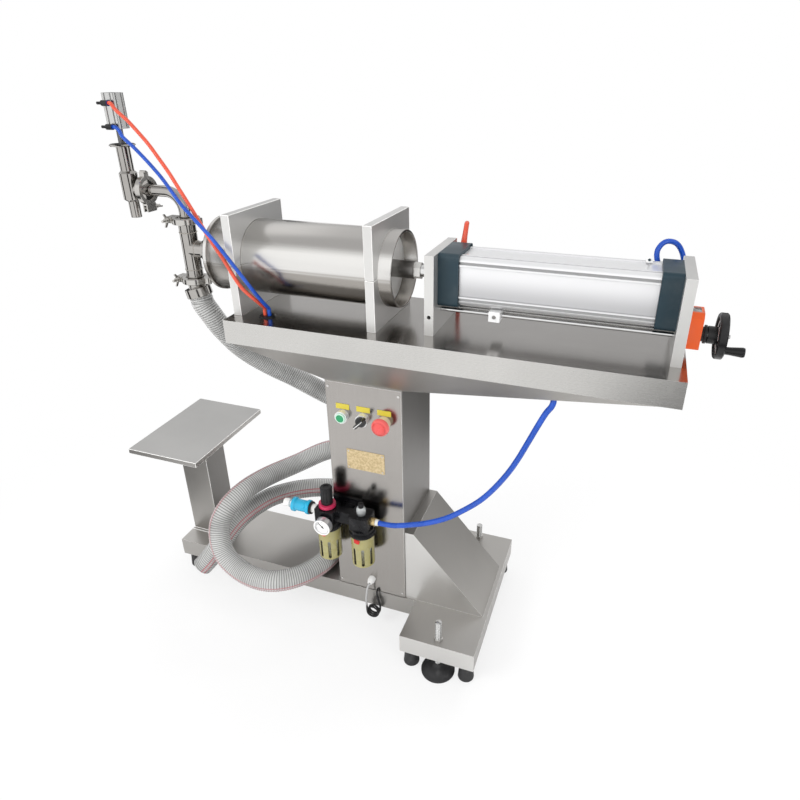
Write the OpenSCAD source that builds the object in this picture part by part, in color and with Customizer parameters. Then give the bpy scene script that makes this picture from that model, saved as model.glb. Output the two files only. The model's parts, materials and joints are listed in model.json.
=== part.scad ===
/* [Base] */
// Length of the beam left of the column's centre line
beam_reach = 581; // [570:1:600]
// Length of the beam right of the column's centre line
foot_reach = 116; // [110:1:125]
// Depth of the base beam along Y
beam_d = 190; // [186:1:200]
// Height of the folded base boxes
base_h = 49; // [45:1:55]
// Height of the base boxes above the floor
base_lift = 49; // [45:1:56]
// Width of the cross foot along X
cross_w = 179; // [170:1:190]
// Length of the cross foot along Y
cross_l = 412; // [390:2:440]
// Height of the sloping brace
brace_h = 203; // [180:1:220]
// Foot of the brace, measured from the column's side
brace_l = 196; // [180:1:200]
/* [Column] */
// Width of the column along X
column_w = 180; // [176:1:190]
// Depth of the column along Y
column_d = 184; // [180:1:186]
// Height of the column
column_h = 578; // [560:1:600]
// Height of the tapered neck between column and deck
neck_h = 74; // [66:1:80]
/* [Deck] */
// Depth of the deck along Y
deck_d = 272; // [264:2:280]
// Height of the deck box
deck_h = 52; // [46:1:58]
// Length of the deck left of the column's centre line
deck_left = 297; // [296:1:305]
// Length of the deck right of the column's centre line
deck_right = 621; // [618:1:630]
/* [Bottle stand] */
// Distance of the bottle stand from the column's centre line
stand_reach = 537; // [530:1:542]
// Width of the platform along X
platform_w = 204; // [190:2:208]
// Depth of the platform along Y
platform_d = 290; // [270:2:300]
// Height of the platform above the beam
platform_rise = 317; // [290:1:330]
/* [Barrel] */
// Bore of the barrel
barrel_bore = 150; // [146:1:152]
// Wall of the barrel
barrel_wall = 5; // [4:0.5:6]
// Length of the barrel tube
barrel_l = 425; // [420:1:428]
// Height of the barrel's axis above the deck
axis_rise = 107; // [104:1:110]
// Travel of the piston
stroke = 300; // [260:5:300]
/* [Air cylinder] */
// Side of the square end caps
cap_s = 106; // [102:1:108]
// Bore of the air cylinder
air_bore = 90; // [84:1:92]
// Diameter of the piston rod
rod_d = 25; // [20:1:28]
/* [Nozzle] */
// Distance between nozzle axis and valve axis
nozzle_reach = 138; // [132:1:144]
// Height of the nozzle's tip above the deck
nozzle_rise = 170; // [160:1:180]
// Diameter of the nozzle tip
tip_d = 24; // [23:0.5:26]
/* [Handwheel] */
// Diameter of the handwheel
wheel_d = 84; // [80:1:90]
// Diameter of the lead screw
screw_d = 8; // [7:0.5:10]
/* [Hose] */
// Bore of the suction hose
hose_bore = 41; // [38:1:44]
// Wall of the suction hose with its ribs
hose_wall = 6; // [5:0.5:7]

/* [Hidden] */
$fn = 48;
sheet = 2;
fold_t = 3;
fit_gap = 0.05;
quarter = 90;
half_turn = 180;
full_turn = 360;

// Places along X; the origin is below the middle of the whole machine
plate_t = 19;
cyl_reach = [134, 593];
box_l = 26;
collar_l = 10;
washer_l = 2;
hub_l = 16;
wheel_seat = 1;
wheel_t = 15;
grip_l = 37;
grip_reach = cyl_reach[1] + plate_t + box_l + collar_l + washer_l + hub_l - wheel_seat + wheel_t + grip_l;
column_x = (stand_reach + platform_w / 2 - grip_reach) / 2;
beam_x = [column_x - beam_reach, column_x + foot_reach];
cross_x = [beam_x[1], beam_x[1] + cross_w];
cross_mid_x = (cross_x[0] + cross_x[1]) / 2;
side_x = [column_x - column_w / 2, column_x + column_w / 2];
stand_x = column_x - stand_reach;
barrel_od = barrel_bore + 2 * barrel_wall;
tail_reach = 66;
barrel_tail = column_x + tail_reach;
barrel_x = [barrel_tail - barrel_l, barrel_tail];
cap_flange = 12;
cap_stub = 30;
branch_end = barrel_x[0] - cap_flange - cap_stub;
branch_l = 60;
tee_x = branch_end - branch_l;
nozzle_x = tee_x - nozzle_reach;

// Heights
base_top = base_lift + base_h;
column_top = base_top + column_h;
deck_z = column_top + neck_h;
deck_top = deck_z + deck_h;
axis_z = deck_top + axis_rise;
platform_z = base_top + platform_rise;
front_y = -column_d / 2;

// Colours
steel = [0.72, 0.71, 0.69];
bright = [0.82, 0.82, 0.82];
chrome = [0.85, 0.86, 0.88];
alu = [0.86, 0.87, 0.88];
slate = [0.17, 0.25, 0.31];
black = [0.06, 0.06, 0.07];
dark = [0.2, 0.2, 0.21];
orange = [0.93, 0.32, 0.08];
blue = [0.08, 0.25, 0.75];
coral = [0.93, 0.38, 0.28];
cyan = [0.1, 0.65, 0.88];
magenta = [0.8, 0.12, 0.3];
olive = [0.63, 0.62, 0.4];
yellow = [0.93, 0.85, 0.25];
green = [0.1, 0.6, 0.3];
red = [0.82, 0.14, 0.1];
white = [0.93, 0.93, 0.92];
gold = [0.78, 0.7, 0.5];
clear = [0.85, 0.86, 0.85];
rubber = [0.05, 0.05, 0.05];

// A box between low and high corners, given as ranges along each axis
module block(x, y, z) {
    translate([x[0], y[0], z[0]]) cube([x[1] - x[0], y[1] - y[0], z[1] - z[0]]);
}

// A welded box of sheet, closed all round, and a folded tray that is open below
module closed_box(x, y, z, t) {
    difference() {
        block(x, y, z);
        block([x[0] + t, x[1] - t], [y[0] + t, y[1] - t], [z[0] + t, z[1] - t]);
    }
}
module open_box(x, y, z, t) {
    difference() {
        block(x, y, z);
        block([x[0] + t, x[1] - t], [y[0] + t, y[1] - t], [z[0] - t, z[1] - t]);
    }
}

// Round bars along each axis, from one end to the other
module bar_x(x, y, z, d) {
    translate([x[0], y, z]) rotate([0, quarter, 0]) cylinder(h = x[1] - x[0], d = d);
}
module bar_y(x, y, z, d) {
    translate([x, y[0], z]) rotate([-quarter, 0, 0]) cylinder(h = y[1] - y[0], d = d);
}
module bar_z(x, y, z, d) {
    translate([x, y, z[0]]) cylinder(h = z[1] - z[0], d = d);
}

// Round bars with a bore
module tube_x(x, y, z, d, bore) {
    difference() {
        bar_x(x, y, z, d);
        bar_x([x[0] - sheet, x[1] + sheet], y, z, bore);
    }
}
module tube_y(x, y, z, d, bore) {
    difference() {
        bar_y(x, y, z, d);
        bar_y(x, [y[0] - sheet, y[1] + sheet], z, bore);
    }
}
module tube_z(x, y, z, d, bore) {
    difference() {
        bar_z(x, y, z, d);
        bar_z(x, y, [z[0] - sheet, z[1] + sheet], bore);
    }
}

// A profile of [radius, height] points turned about an axis that points along +X, -Y or +Z
module turned_x(x, y, z, profile) {
    translate([x, y, z]) rotate([0, quarter, 0]) rotate_extrude() polygon(profile);
}
module turned_front(x, y, z, profile) {
    translate([x, y, z]) rotate([quarter, 0, 0]) rotate_extrude() polygon(profile);
}
module turned_z(x, y, z, profile) {
    translate([x, y, z]) rotate_extrude() polygon(profile);
}

// A square with true round corners, centred
module soft_square(w, h, r) {
    square([w - 2 * r, h], center = true);
    square([w, h - 2 * r], center = true);
    for (i = [-1, 1], j = [-1, 1]) translate([i * (w / 2 - r), j * (h / 2 - r)]) circle(r = r);
}

// The same square as a plate whose thickness lies along X
module soft_block_x(x, y, z, w, h, r) {
    translate([x[0], y, z]) rotate([quarter, 0, quarter])
        linear_extrude(height = x[1] - x[0]) soft_square(w, h, r);
}

// BASE
foot_bore = 13;
foot_y = 187;

brace_flat = 21;
brace_d = 180;
module base_frame() {
    brace_x = side_x[1];
    brace_y = [-brace_d / 2, brace_d / 2];
    brace_top = base_top + brace_h;
    color(steel) {
        closed_box(beam_x, [-beam_d / 2, beam_d / 2], [base_lift, base_top], fold_t);
        difference() {
            closed_box(cross_x, [-cross_l / 2, cross_l / 2], [base_lift, base_top], fold_t);
            for (s = [-1, 1])
                bar_z(cross_mid_x, s * foot_y, [base_lift - sheet, base_top + sheet], foot_bore);
        }
        // The brace, a wedge box of sheet
        difference() {
            translate([brace_x, brace_y[1], 0]) rotate([quarter, 0, 0])
                linear_extrude(height = brace_d)
                    polygon([[0, base_top], [brace_l, base_top], [brace_flat, brace_top], [0, brace_top]]);
            translate([brace_x, brace_y[1] - sheet, 0]) rotate([quarter, 0, 0])
                linear_extrude(height = brace_d - 2 * sheet)
                    polygon([
                        [sheet, base_top + sheet], [brace_l - 3 * sheet, base_top + sheet],
                        [brace_flat - sheet, brace_top - sheet], [sheet, brace_top - sheet]
                    ]);
        }
    }
}

rubber_d = 38;
rubber_inset = 22;
rubber_neck = 30;
rubber_edge = 3;
rubber_y = 184;
rubber_left_y = 72;
module rubber_foot(x, y) {
    turned_z(x, y, 0, [
        [0, 0], [rubber_d / 2 - rubber_edge, 0], [rubber_d / 2, rubber_edge],
        [rubber_neck / 2, base_lift], [0, base_lift]
    ]);
}
module rubber_feet() {
    color(rubber) {
        for (s = [-1, 1]) {
            rubber_foot(cross_x[0] + rubber_inset, s * rubber_y);
            rubber_foot(cross_x[1] - rubber_inset, s * rubber_y);
            rubber_foot(beam_x[0] + rubber_inset, s * rubber_left_y);
        }
    }
}

// A levelling foot: a domed pad and a threaded rod that stands up through the cross foot
pad_d = 80;
pad_rim_h = 5;
pad_dome_h = 21;
pad_hub_d = 22;
pad_hub_h = 27;
stud_d = 12;
stud_seat = 8;
front_stud_top = 56;
rear_stud_top = 42;
dome_shoulder = [34, 12];
dome_crown = [22, 18];
module leveling_foot(y, proud) {
    color(rubber) turned_z(cross_mid_x, y, 0, [
        [0, 0], [pad_d / 2 - 1, 0], [pad_d / 2, 1], [pad_d / 2, pad_rim_h], dome_shoulder, dome_crown,
        [pad_hub_d / 2, pad_dome_h], [pad_hub_d / 2, pad_hub_h], [stud_d / 2, pad_hub_h],
        [stud_d / 2, base_top + proud - 1], [stud_d / 2 - 1, base_top + proud], [0, base_top + proud]
    ]);
}
module leveling_foot_front() {
    leveling_foot(-foot_y, front_stud_top);
}
module leveling_foot_rear() {
    leveling_foot(foot_y, rear_stud_top);
}

// COLUMN
panel_h = 574;
panel_w = 176;
panel_y = [front_y - sheet, front_y];
panel_mid = base_top + column_h / 2;
switch_z = 595;
switch_pitch = 49;
switch_hole = 22.3;
gland_reach = 2;
gland_x = column_x + gland_reach;
gland_z = 136;
gland_hole = 12;
return_reach = 16;
return_x = column_x + return_reach;
return_z = 106;
lead_d = 5;
module column() {
    color(steel) difference() {
        block(side_x, [-column_d / 2, column_d / 2], [base_top, column_top]);
        block(
            [side_x[0] + fold_t, side_x[1] - fold_t],
            [-column_d / 2 + fold_t, column_d / 2 - fold_t],
            [base_top - sheet, column_top - fold_t]
        );
        // The window behind the front panel
        block(
            [side_x[0] + window_rim, side_x[1] - window_rim],
            [-column_d / 2 - sheet, -column_d / 2 + 2 * fold_t],
            [base_top + window_foot, column_top - window_rim]
        );
    }
}
window_rim = 14;
window_foot = 8;

module front_panel() {
    color(bright) difference() {
        block(
            [column_x - panel_w / 2, column_x + panel_w / 2], panel_y,
            [panel_mid - panel_h / 2, panel_mid + panel_h / 2]
        );
        for (i = [-1, 0, 1])
            bar_y(
                column_x + i * switch_pitch, [panel_y[0] - sheet, panel_y[1] + sheet], switch_z, switch_hole
            );
        bar_y(gland_x, [panel_y[0] - sheet, panel_y[1] + sheet], gland_z, gland_hole);
    }
}

// DECK
neck_left_inset = 12;
neck_right_inset = 30;
neck_side_inset = 2;
grommet_reach = 219;
grommet_x = column_x - grommet_reach;
grommet_y = -85;
grommet_hole = 28;
supply_reach = 401;
supply_x = column_x + supply_reach;
supply_y = -104;
supply_hole = 13;
drop_y = 106;
drop_hole = 14;
drop_reach = [150, 602];
orange_drop_x = column_x + drop_reach[0];
blue_drop_x = column_x + drop_reach[1];
module neck_form(t) {
    hull() {
        block(
            [side_x[0] + t, side_x[1] - t], [-column_d / 2 + t, column_d / 2 - t],
            [column_top + t, column_top + t + skin]
        );
        block(
            [column_x - deck_left + neck_left_inset + t, column_x + deck_right - neck_right_inset - t],
            [-deck_d / 2 + neck_side_inset + t, deck_d / 2 - neck_side_inset - t],
            [deck_z - skin + t, deck_z + t]
        );
    }
}
skin = 0.5;
module deck() {
    x = [column_x - deck_left, column_x + deck_right];
    color(steel) difference() {
        neck_form(0);
        neck_form(sheet);
        bar_z(supply_x, supply_y, [column_top, deck_z], supply_hole);
    }
    color(bright) difference() {
        block(x, [-deck_d / 2, deck_d / 2], [deck_z, deck_top]);
        block(
            [x[0] + sheet, x[1] - sheet], [-deck_d / 2 + sheet, deck_d / 2 - sheet],
            [deck_z + sheet, deck_top - sheet]
        );
        bar_z(grommet_x, grommet_y, [deck_top - 2 * sheet, deck_top + sheet], grommet_hole);
        for (drop_x = [orange_drop_x, blue_drop_x])
            bar_z(drop_x, drop_y, [deck_top - 2 * sheet, deck_top + sheet], drop_hole);
    }
}

// BOTTLE STAND
post_w = 82;
post_d = 78;
post_flange = 8;
platform_h = 13;
module bottle_stand() {
    color(bright) open_box(
        [stand_x - platform_w / 2, stand_x + platform_w / 2], [-platform_d / 2, platform_d / 2],
        [platform_z - platform_h, platform_z], fold_t
    );
    color(steel) {
        difference() {
            block(
                [stand_x - post_w / 2, stand_x + post_w / 2], [-post_d / 2, post_d / 2],
                [base_top, platform_z - fold_t]
            );
            block(
                [stand_x - post_w / 2 + sheet, stand_x + post_w / 2 - sheet],
                [-post_d / 2 + sheet, post_d / 2 - sheet],
                [base_top - sheet, platform_z]
            );
        }
        difference() {
            block(
                [stand_x - post_w / 2 - sheet, stand_x + post_w / 2 + post_flange],
                [-post_d / 2 - post_flange, post_d / 2 + post_flange], [base_top, base_top + sheet]
            );
            block(
                [stand_x - post_w / 2 + sheet, stand_x + post_w / 2 - sheet],
                [-post_d / 2 + sheet, post_d / 2 - sheet],
                [base_top - sheet, base_top + 2 * sheet]
            );
        }
    }
}

// BARREL
clamp_side = 21;
clamp_crown = 26;
clamp_w = barrel_od + 2 * clamp_side;
clamp_h = axis_rise + barrel_od / 2 + clamp_crown;
clamp_reach = [-292, 20];
clamp_x = [for (reach = clamp_reach) column_x + reach];
split = 1;
bevel = 1;
tail_bevel = 3;
module barrel_clamps() {
    color(alu) for (x = clamp_x) difference() {
        block([x, x + plate_t], [-clamp_w / 2, clamp_w / 2], [deck_top, deck_top + clamp_h]);
        bar_x([x - sheet, x + plate_t + sheet], 0, axis_z, barrel_od);
        block(
            [x - sheet, x + plate_t + sheet], [-clamp_w / 2 - sheet, clamp_w / 2 + sheet],
            [axis_z - split / 2, axis_z + split / 2]
        );
    }
}
module barrel_tube() {
    color(steel) turned_x(barrel_x[0], 0, axis_z, [
        [barrel_bore / 2, 0], [barrel_od / 2, 0], [barrel_od / 2, barrel_l - bevel],
        [barrel_od / 2 - bevel, barrel_l],
        [barrel_bore / 2 + tail_bevel, barrel_l], [barrel_bore / 2, barrel_l - tail_bevel]
    ]);
}

cap_lip = 2;
cap_spigot = 16;
pipe_d = 38;
pipe_bore = 32;
cap_round = 5;
module front_cap() {
    face = barrel_x[0] - cap_flange;
    color(bright) turned_x(face - cap_stub, 0, axis_z, [
        [pipe_bore / 2, 0], [pipe_d / 2, 0], [pipe_d / 2, cap_stub],
        [barrel_od / 2 + cap_lip - cap_round, cap_stub],
        [barrel_od / 2 + cap_lip, cap_stub + cap_round],
        [barrel_od / 2 + cap_lip, cap_stub + cap_flange],
        [barrel_bore / 2, cap_stub + cap_flange], [barrel_bore / 2, cap_stub + cap_flange + cap_spigot],
        [barrel_bore / 2 - cap_round, cap_stub + cap_flange + cap_spigot],
        [pipe_bore / 2, cap_stub + cap_flange]
    ]);
}

piston_l = 50;
piston_tail = 30;
piston_back = barrel_tail - piston_tail;
piston_slack = 0.6;
groove_in = 4;
seal_w = 6;
seals_at = [9, 35];
module material_piston() {
    r = barrel_bore / 2 - piston_slack;
    color(white) turned_x(piston_back - piston_l, 0, axis_z, [
        [0, 0], [r - sheet, 0], [r, sheet],
        [r, seals_at[0]], [r - groove_in, seals_at[0]],
        [r - groove_in, seals_at[0] + seal_w], [r, seals_at[0] + seal_w],
        [r, seals_at[1]], [r - groove_in, seals_at[1]],
        [r - groove_in, seals_at[1] + seal_w], [r, seals_at[1] + seal_w],
        [r, piston_l - sheet], [r - sheet, piston_l], [0, piston_l]
    ]);
}
module piston_seals() {
    r = barrel_bore / 2 - piston_slack;
    color(rubber) for (at = seals_at) turned_x(piston_back - piston_l + at, 0, axis_z, [
        [r - groove_in, 0], [barrel_bore / 2 - fit_gap - bevel, 0], [barrel_bore / 2 - fit_gap, bevel],
        [barrel_bore / 2 - fit_gap, seal_w - bevel], [barrel_bore / 2 - fit_gap - bevel, seal_w],
        [r - groove_in, seal_w]
    ]);
}

// AIR CYLINDER
cyl_plate_w = 156;
cyl_plate_h = 160;
cyl_x = [column_x + cyl_reach[0], column_x + cyl_reach[1]];
cap_l = [41, 36];
cap_r = 9;
tube_s = 98;
tube_r = 14;
tube_recess = 3;
tube_face = 58;
groove_w = 5;
groove_h = 4;
groove_at = 36;
screw_y = -8;
screw_rise = 42;
screw_z = deck_top + screw_rise;
guide_y = -30;
guide_d = 8;
set_screw_d = 8;
set_screw_l = 70;
set_screw_drop = 4;
neck_bore = 46;
air_x = [cyl_x[0] + plate_t + cap_l[0], cyl_x[1] - cap_l[1]];
air_port_d = 12;
air_port_rise = 8;
air_port_z = axis_z + air_port_rise;
port_in = [20, 28];
port_x = [cyl_x[0] + plate_t + port_in[0], cyl_x[1] - port_in[1]];
module cylinder_plates() {
    cylinder_plate_left();
    cylinder_plate_right();
}
module cylinder_plate_left() {
    x = [cyl_x[0], cyl_x[0] + plate_t];
    color(alu) difference() {
        block(x, [-cyl_plate_w / 2, cyl_plate_w / 2], [deck_top, deck_top + cyl_plate_h]);
        bar_x([x[0] - sheet, x[1] + sheet], 0, axis_z, neck_bore);
        bar_x([x[0] + sheet, x[1] + sheet], screw_y, screw_z, screw_d + 2 * fit_gap);
        bar_x([x[0] + sheet, x[1] + sheet], guide_y, screw_z, guide_d);
        bar_y(
            (x[0] + x[1]) / 2, [-cyl_plate_w / 2 - sheet, -cyl_plate_w / 2 + set_screw_l / 2],
            screw_z - set_screw_drop, set_screw_d
        );
    }
}
module cylinder_plate_right() {
    x = [cyl_x[1], cyl_x[1] + plate_t];
    color(alu) difference() {
        block(x, [-cyl_plate_w / 2, cyl_plate_w / 2], [deck_top, deck_top + cyl_plate_h]);
        bar_x([x[0] - sheet, x[1] + sheet], screw_y, screw_z, screw_d + 2 * fit_gap);
        bar_x([x[0] - sheet, x[1] - sheet], guide_y, screw_z, guide_d);
    }
}
module air_profile() {
    difference() {
        soft_square(tube_s, tube_s, tube_r);
        for (a = [0 : quarter : full_turn - quarter]) rotate(a) {
            translate([tube_s / 2 - tube_recess + tube_s / 2, 0]) square([tube_s, tube_face], center = true);
            for (s = [-1, 1])
                translate([tube_s / 2, s * groove_at]) square([2 * groove_h, groove_w], center = true);
        }
        circle(d = air_bore);
    }
}
module air_cylinder_tube() {
    color(alu) translate([air_x[0], 0, axis_z]) rotate([quarter, 0, quarter])
        linear_extrude(height = air_x[1] - air_x[0]) air_profile();
}
module air_cylinder_caps() {
    color(slate) {
        difference() {
            union() {
                soft_block_x([cyl_x[0] + plate_t, air_x[0]], 0, axis_z, cap_s, cap_s, cap_r);
                bar_x([cyl_x[0] - sheet, cyl_x[0] + plate_t], 0, axis_z, neck_bore);
            }
            bar_x([cyl_x[0] - 2 * sheet, air_x[0] + sheet], 0, axis_z, rod_d + 2 * fit_gap);
            bar_y(port_x[0], [cap_s / 2 - set_screw_d, cap_s / 2 + sheet], air_port_z, air_port_d);
        }
        difference() {
            soft_block_x([air_x[1], cyl_x[1]], 0, axis_z, cap_s, cap_s, cap_r);
            bar_x([air_x[1] - sheet, air_x[1] + cushion_l], 0, axis_z, rod_d + sheet);
            bar_y(port_x[1], [cap_s / 2 - set_screw_d, cap_s / 2 + sheet], air_port_z, air_port_d);
        }
    }
}
cushion_l = 20;

air_piston_l = 46;
end_space = 3;
air_piston_back = air_x[1] - end_space;
coupling_d = 36;
coupling_l = 54;
nut_l = 13;
nut_af = 30;
module piston_rod() {
    color(chrome) {
        bar_x([piston_back + coupling_l, air_piston_back - air_piston_l], 0, axis_z, rod_d);
        bar_x([air_piston_back - air_piston_l, air_piston_back], 0, axis_z, air_bore - 2 * fit_gap);
    }
}
flat_w = 32;
flat_l = 14;
flat_in = 8;
module rod_coupling() {
    color(dark) {
        difference() {
            turned_x(piston_back, 0, axis_z, [
                [0, 0], [coupling_d / 2, 0], [coupling_d / 2, coupling_l - sheet],
                [coupling_d / 2 - sheet, coupling_l], [0, coupling_l]
            ]);
            for (s = [-1, 1])
                translate([piston_back + flat_in + flat_l / 2, s * (flat_w / 2 + coupling_d / 2), axis_z])
                    cube([flat_l, coupling_d, coupling_d + sheet], center = true);
        }
        // Lock nut on the rod
        translate([piston_back + coupling_l, 0, axis_z]) rotate([0, quarter, 0]) difference() {
            cylinder(h = nut_l, d = nut_af / cos(full_turn / 12), $fn = 6);
            translate([0, 0, -sheet]) cylinder(h = nut_l + 2 * sheet, d = rod_d);
        }
    }
}

// VOLUME SETTING
box_x = [cyl_x[1] + plate_t, cyl_x[1] + plate_t + box_l];
box_w = 52;
box_h = 67;
box_low = 22;
box_cut = 8;
window_d = 3;
box_round = 5;
end_gap = 0.4;
module indicator_housing() {
    bearing_collar();
    color(orange) difference() {
        translate([box_x[0], screw_y, screw_z - box_low]) rotate([quarter, 0, quarter])
            linear_extrude(height = box_x[1] - box_x[0]) polygon([
                [-box_w / 2, 0], [box_w / 2, 0], [box_w / 2, box_h - box_cut],
                [box_w / 2 - box_cut, box_h], [-box_w / 2 + box_cut, box_h], [-box_w / 2, box_h - box_cut]
            ]);
        bar_x([box_x[0] - sheet, box_x[1] + sheet], screw_y, screw_z, screw_d + 2 * end_gap);
        // Recess for the window on top
        block(
            [box_x[0] + box_round, box_x[1] - box_round], [screw_y - box_w / 4, screw_y + box_w / 4],
            [screw_z - box_low + box_h - window_d, screw_z - box_low + box_h + sheet]
        );
    }
}
module indicator_window() {
    color(clear) block(
        [box_x[0] + box_round, box_x[1] - box_round], [screw_y - box_w / 4, screw_y + box_w / 4],
        [screw_z - box_low + box_h - window_d, screw_z - box_low + box_h]
    );
}

collar_d = 34;
collar_rim = 27;
collar_rim_l = 4;
hub_d = 32;
rim_t = 9;
rim_bevel = 3;
web_t = 5;
web_in = 3;
web_hole_d = 17;
web_hole_r = 24;
web_holes = 3;
end_nut_d = 15;
end_nut_l = 10;
dome_share = 0.8;
collar_x = [box_x[1], box_x[1] + collar_l];
hub_x = [collar_x[1] + washer_l, collar_x[1] + washer_l + hub_l];
wheel_x = [hub_x[1] - wheel_seat, hub_x[1] - wheel_seat + wheel_t];
module bearing_collar() {
    color(black) difference() {
        turned_x(collar_x[0], screw_y, screw_z, [
            [0, 0], [collar_rim / 2, 0], [collar_rim / 2, collar_l - collar_rim_l],
            [collar_d / 2, collar_l - collar_rim_l], [collar_d / 2, collar_l], [0, collar_l]
        ]);
        bar_x([collar_x[0] - sheet, collar_x[1] + sheet], screw_y, screw_z, screw_d + 2 * fit_gap);
    }
}
grip_r = 27;
grip_pin_d = 6;
grip_pin_l = 34;
module handwheel() {
    color(black) difference() {
        union() {
            // Hub, web and rim
            turned_x(hub_x[0], screw_y, screw_z, [
                [0, 0], [hub_d / 2, 0], [hub_d / 2, hub_l], [wheel_d / 2 - rim_t, hub_l + web_in],
                [wheel_d / 2 - rim_t, hub_l - wheel_seat], [wheel_d / 2 - sheet, hub_l - wheel_seat],
                [wheel_d / 2, hub_l + wheel_seat], [wheel_d / 2, hub_l + wheel_t - rim_bevel],
                [wheel_d / 2 - sheet, hub_l + wheel_t - wheel_seat],
                [wheel_d / 2 - rim_t, hub_l + wheel_t - wheel_seat],
                [wheel_d / 2 - rim_t, hub_l + web_in + web_t], [hub_d / 2, hub_l + web_t],
                [hub_d / 2, hub_l + wheel_t - rim_bevel], [0, hub_l + wheel_t - rim_bevel]
            ]);
            bar_x([hub_x[1] + web_in, wheel_x[1]], screw_y, screw_z - grip_r, 2 * grip_pin_d);
            bar_x([hub_x[1] + web_in, wheel_x[1] + grip_pin_l], screw_y, screw_z - grip_r, grip_pin_d);
        }
        for (i = [0 : web_holes - 1]) let (a = quarter + full_turn * i / web_holes)
            bar_x(
                [hub_x[1] - sheet, wheel_x[1] + sheet],
                screw_y + web_hole_r * cos(a), screw_z + web_hole_r * sin(a), web_hole_d
            );
        bar_x([hub_x[0] - sheet, wheel_x[1] + sheet], screw_y, screw_z, screw_d);
    }
}
screw_in = 14;
module lead_screw() {
    x = [cyl_x[0] + plate_t - screw_in, wheel_x[1] - sheet];
    color(chrome) {
        bar_x(x, screw_y, screw_z, screw_d);
        // Washer behind the hub
        tube_x([collar_x[1] + fit_gap, hub_x[0]], screw_y, screw_z, hub_d - 2 * sheet, screw_d);
        // Domed end nut
        turned_x(x[1], screw_y, screw_z, [
            [0, 0], [end_nut_d / 2, 0], [end_nut_d / 2, end_nut_l / 2],
            [end_nut_d / 3, end_nut_l * dome_share], [0, end_nut_l]
        ]);
    }
}
grip_ends = [14, 18.6];
grip_waist = 14.5;
module crank_grip() {
    x = wheel_x[1] + end_gap;
    color(black) difference() {
        turned_x(x, screw_y, screw_z - grip_r, [
            [0, 0], [grip_ends[0] / 2, 0], [grip_waist / 2, grip_l / 3],
            [grip_ends[1] / 2, grip_l - 2 * sheet],
            [grip_ends[1] / 2 - bevel, grip_l - end_gap], [0, grip_l - end_gap]
        ]);
        bar_x([x - sheet, x + grip_pin_l], screw_y, screw_z - grip_r, grip_pin_d + 2 * fit_gap);
    }
}
module guide_rod() {
    color(chrome)
        bar_x([cyl_x[0] + plate_t - screw_in, cyl_x[1] + screw_in], guide_y, screw_z, guide_d);
}
bracket_reach = 266;
bracket_x = column_x + bracket_reach;
bracket_w = 22;
bracket_y = [-46, 3];
bracket_low = 10;
bracket_high = 10;
bracket_screw_d = 7;
bracket_screw_h = 2;
module sensor_bracket() {
    x = [bracket_x - bracket_w / 2, bracket_x + bracket_w / 2];
    color(white) {
        difference() {
            block(x, bracket_y, [screw_z - bracket_low, screw_z + bracket_high]);
            bar_x([x[0] - sheet, x[1] + sheet], screw_y, screw_z, screw_d + 2 * fit_gap);
            bar_x([x[0] - sheet, x[1] + sheet], guide_y, screw_z, guide_d + 2 * fit_gap);
        }
        bar_y(bracket_x, [bracket_y[0] - bracket_screw_h, bracket_y[0]], screw_z, bracket_screw_d);
    }
}

// VALVE BODY AND PIPES
tee_low = 60;
tee_high = 52;
tee_z = [axis_z - tee_low, axis_z + tee_high];
ferrule_d = 50.5;
ferrule_root = 43.5;
rim_w = 3;
ferrule_t = 4.2;
ferrule_l = 12;
seat_bore = 20;
seat_t = 4;
seat_drop = 41;
seat_lift = 17;
seat_low = axis_z - seat_drop;
seat_high = axis_z + seat_lift;
ball_d = 26;
ball_lift = 10;
stop_d = 4;
gasket_t = 1.5;
function seat_rise(d, bore) = sqrt(pow(d / 2, 2) - pow(bore / 2, 2));
// Height of a ball's centre above its seat's face
ball_rise = seat_rise(ball_d, seat_bore) + 2 * fit_gap;
module valve_body() {
    low = tee_z[0] - ferrule_l;
    height = tee_z[1] + ferrule_l - low;
    color(chrome) {
        difference() {
            union() {
                turned_z(tee_x, 0, low, [
                    [0, 0], [ferrule_d / 2, 0], [ferrule_d / 2, rim_w], [ferrule_root / 2, ferrule_t],
                    [pipe_d / 2, ferrule_t], [pipe_d / 2, height - ferrule_t],
                    [ferrule_root / 2, height - ferrule_t], [ferrule_d / 2, height - rim_w],
                    [ferrule_d / 2, height], [0, height]
                ]);
                bar_x([tee_x, branch_end], 0, axis_z, pipe_d);
                bar_x([branch_end - union_l, branch_end + union_l / 2], 0, axis_z, union_d);
            }
            bar_z(tee_x, 0, [low - sheet, seat_low - seat_t], pipe_bore);
            bar_z(tee_x, 0, [seat_low - seat_t - sheet, seat_high], seat_bore);
            bar_z(tee_x, 0, [seat_low, seat_high - seat_t], pipe_bore);
            bar_z(tee_x, 0, [seat_high, low + height + sheet], pipe_bore);
            bar_x([tee_x, branch_end], 0, axis_z, pipe_bore);
            bar_x([branch_end, branch_end + union_l], 0, axis_z, pipe_d);
        }
        // Stop pins above the two balls
        for (z = [seat_low, seat_high])
            bar_y(
                tee_x, [-pipe_bore / 2 - bevel, pipe_bore / 2 + bevel],
                z + ball_rise + ball_d / 2 + ball_lift + stop_d / 2 + fit_gap, stop_d
            );
    }
}
union_l = 16;
union_d = 52;
module check_ball(seat) {
    color(white) translate([tee_x, 0, seat + ball_rise]) sphere(d = ball_d);
}
module inlet_ball() {
    check_ball(seat_low);
}
module outlet_ball() {
    check_ball(seat_high);
}

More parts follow.
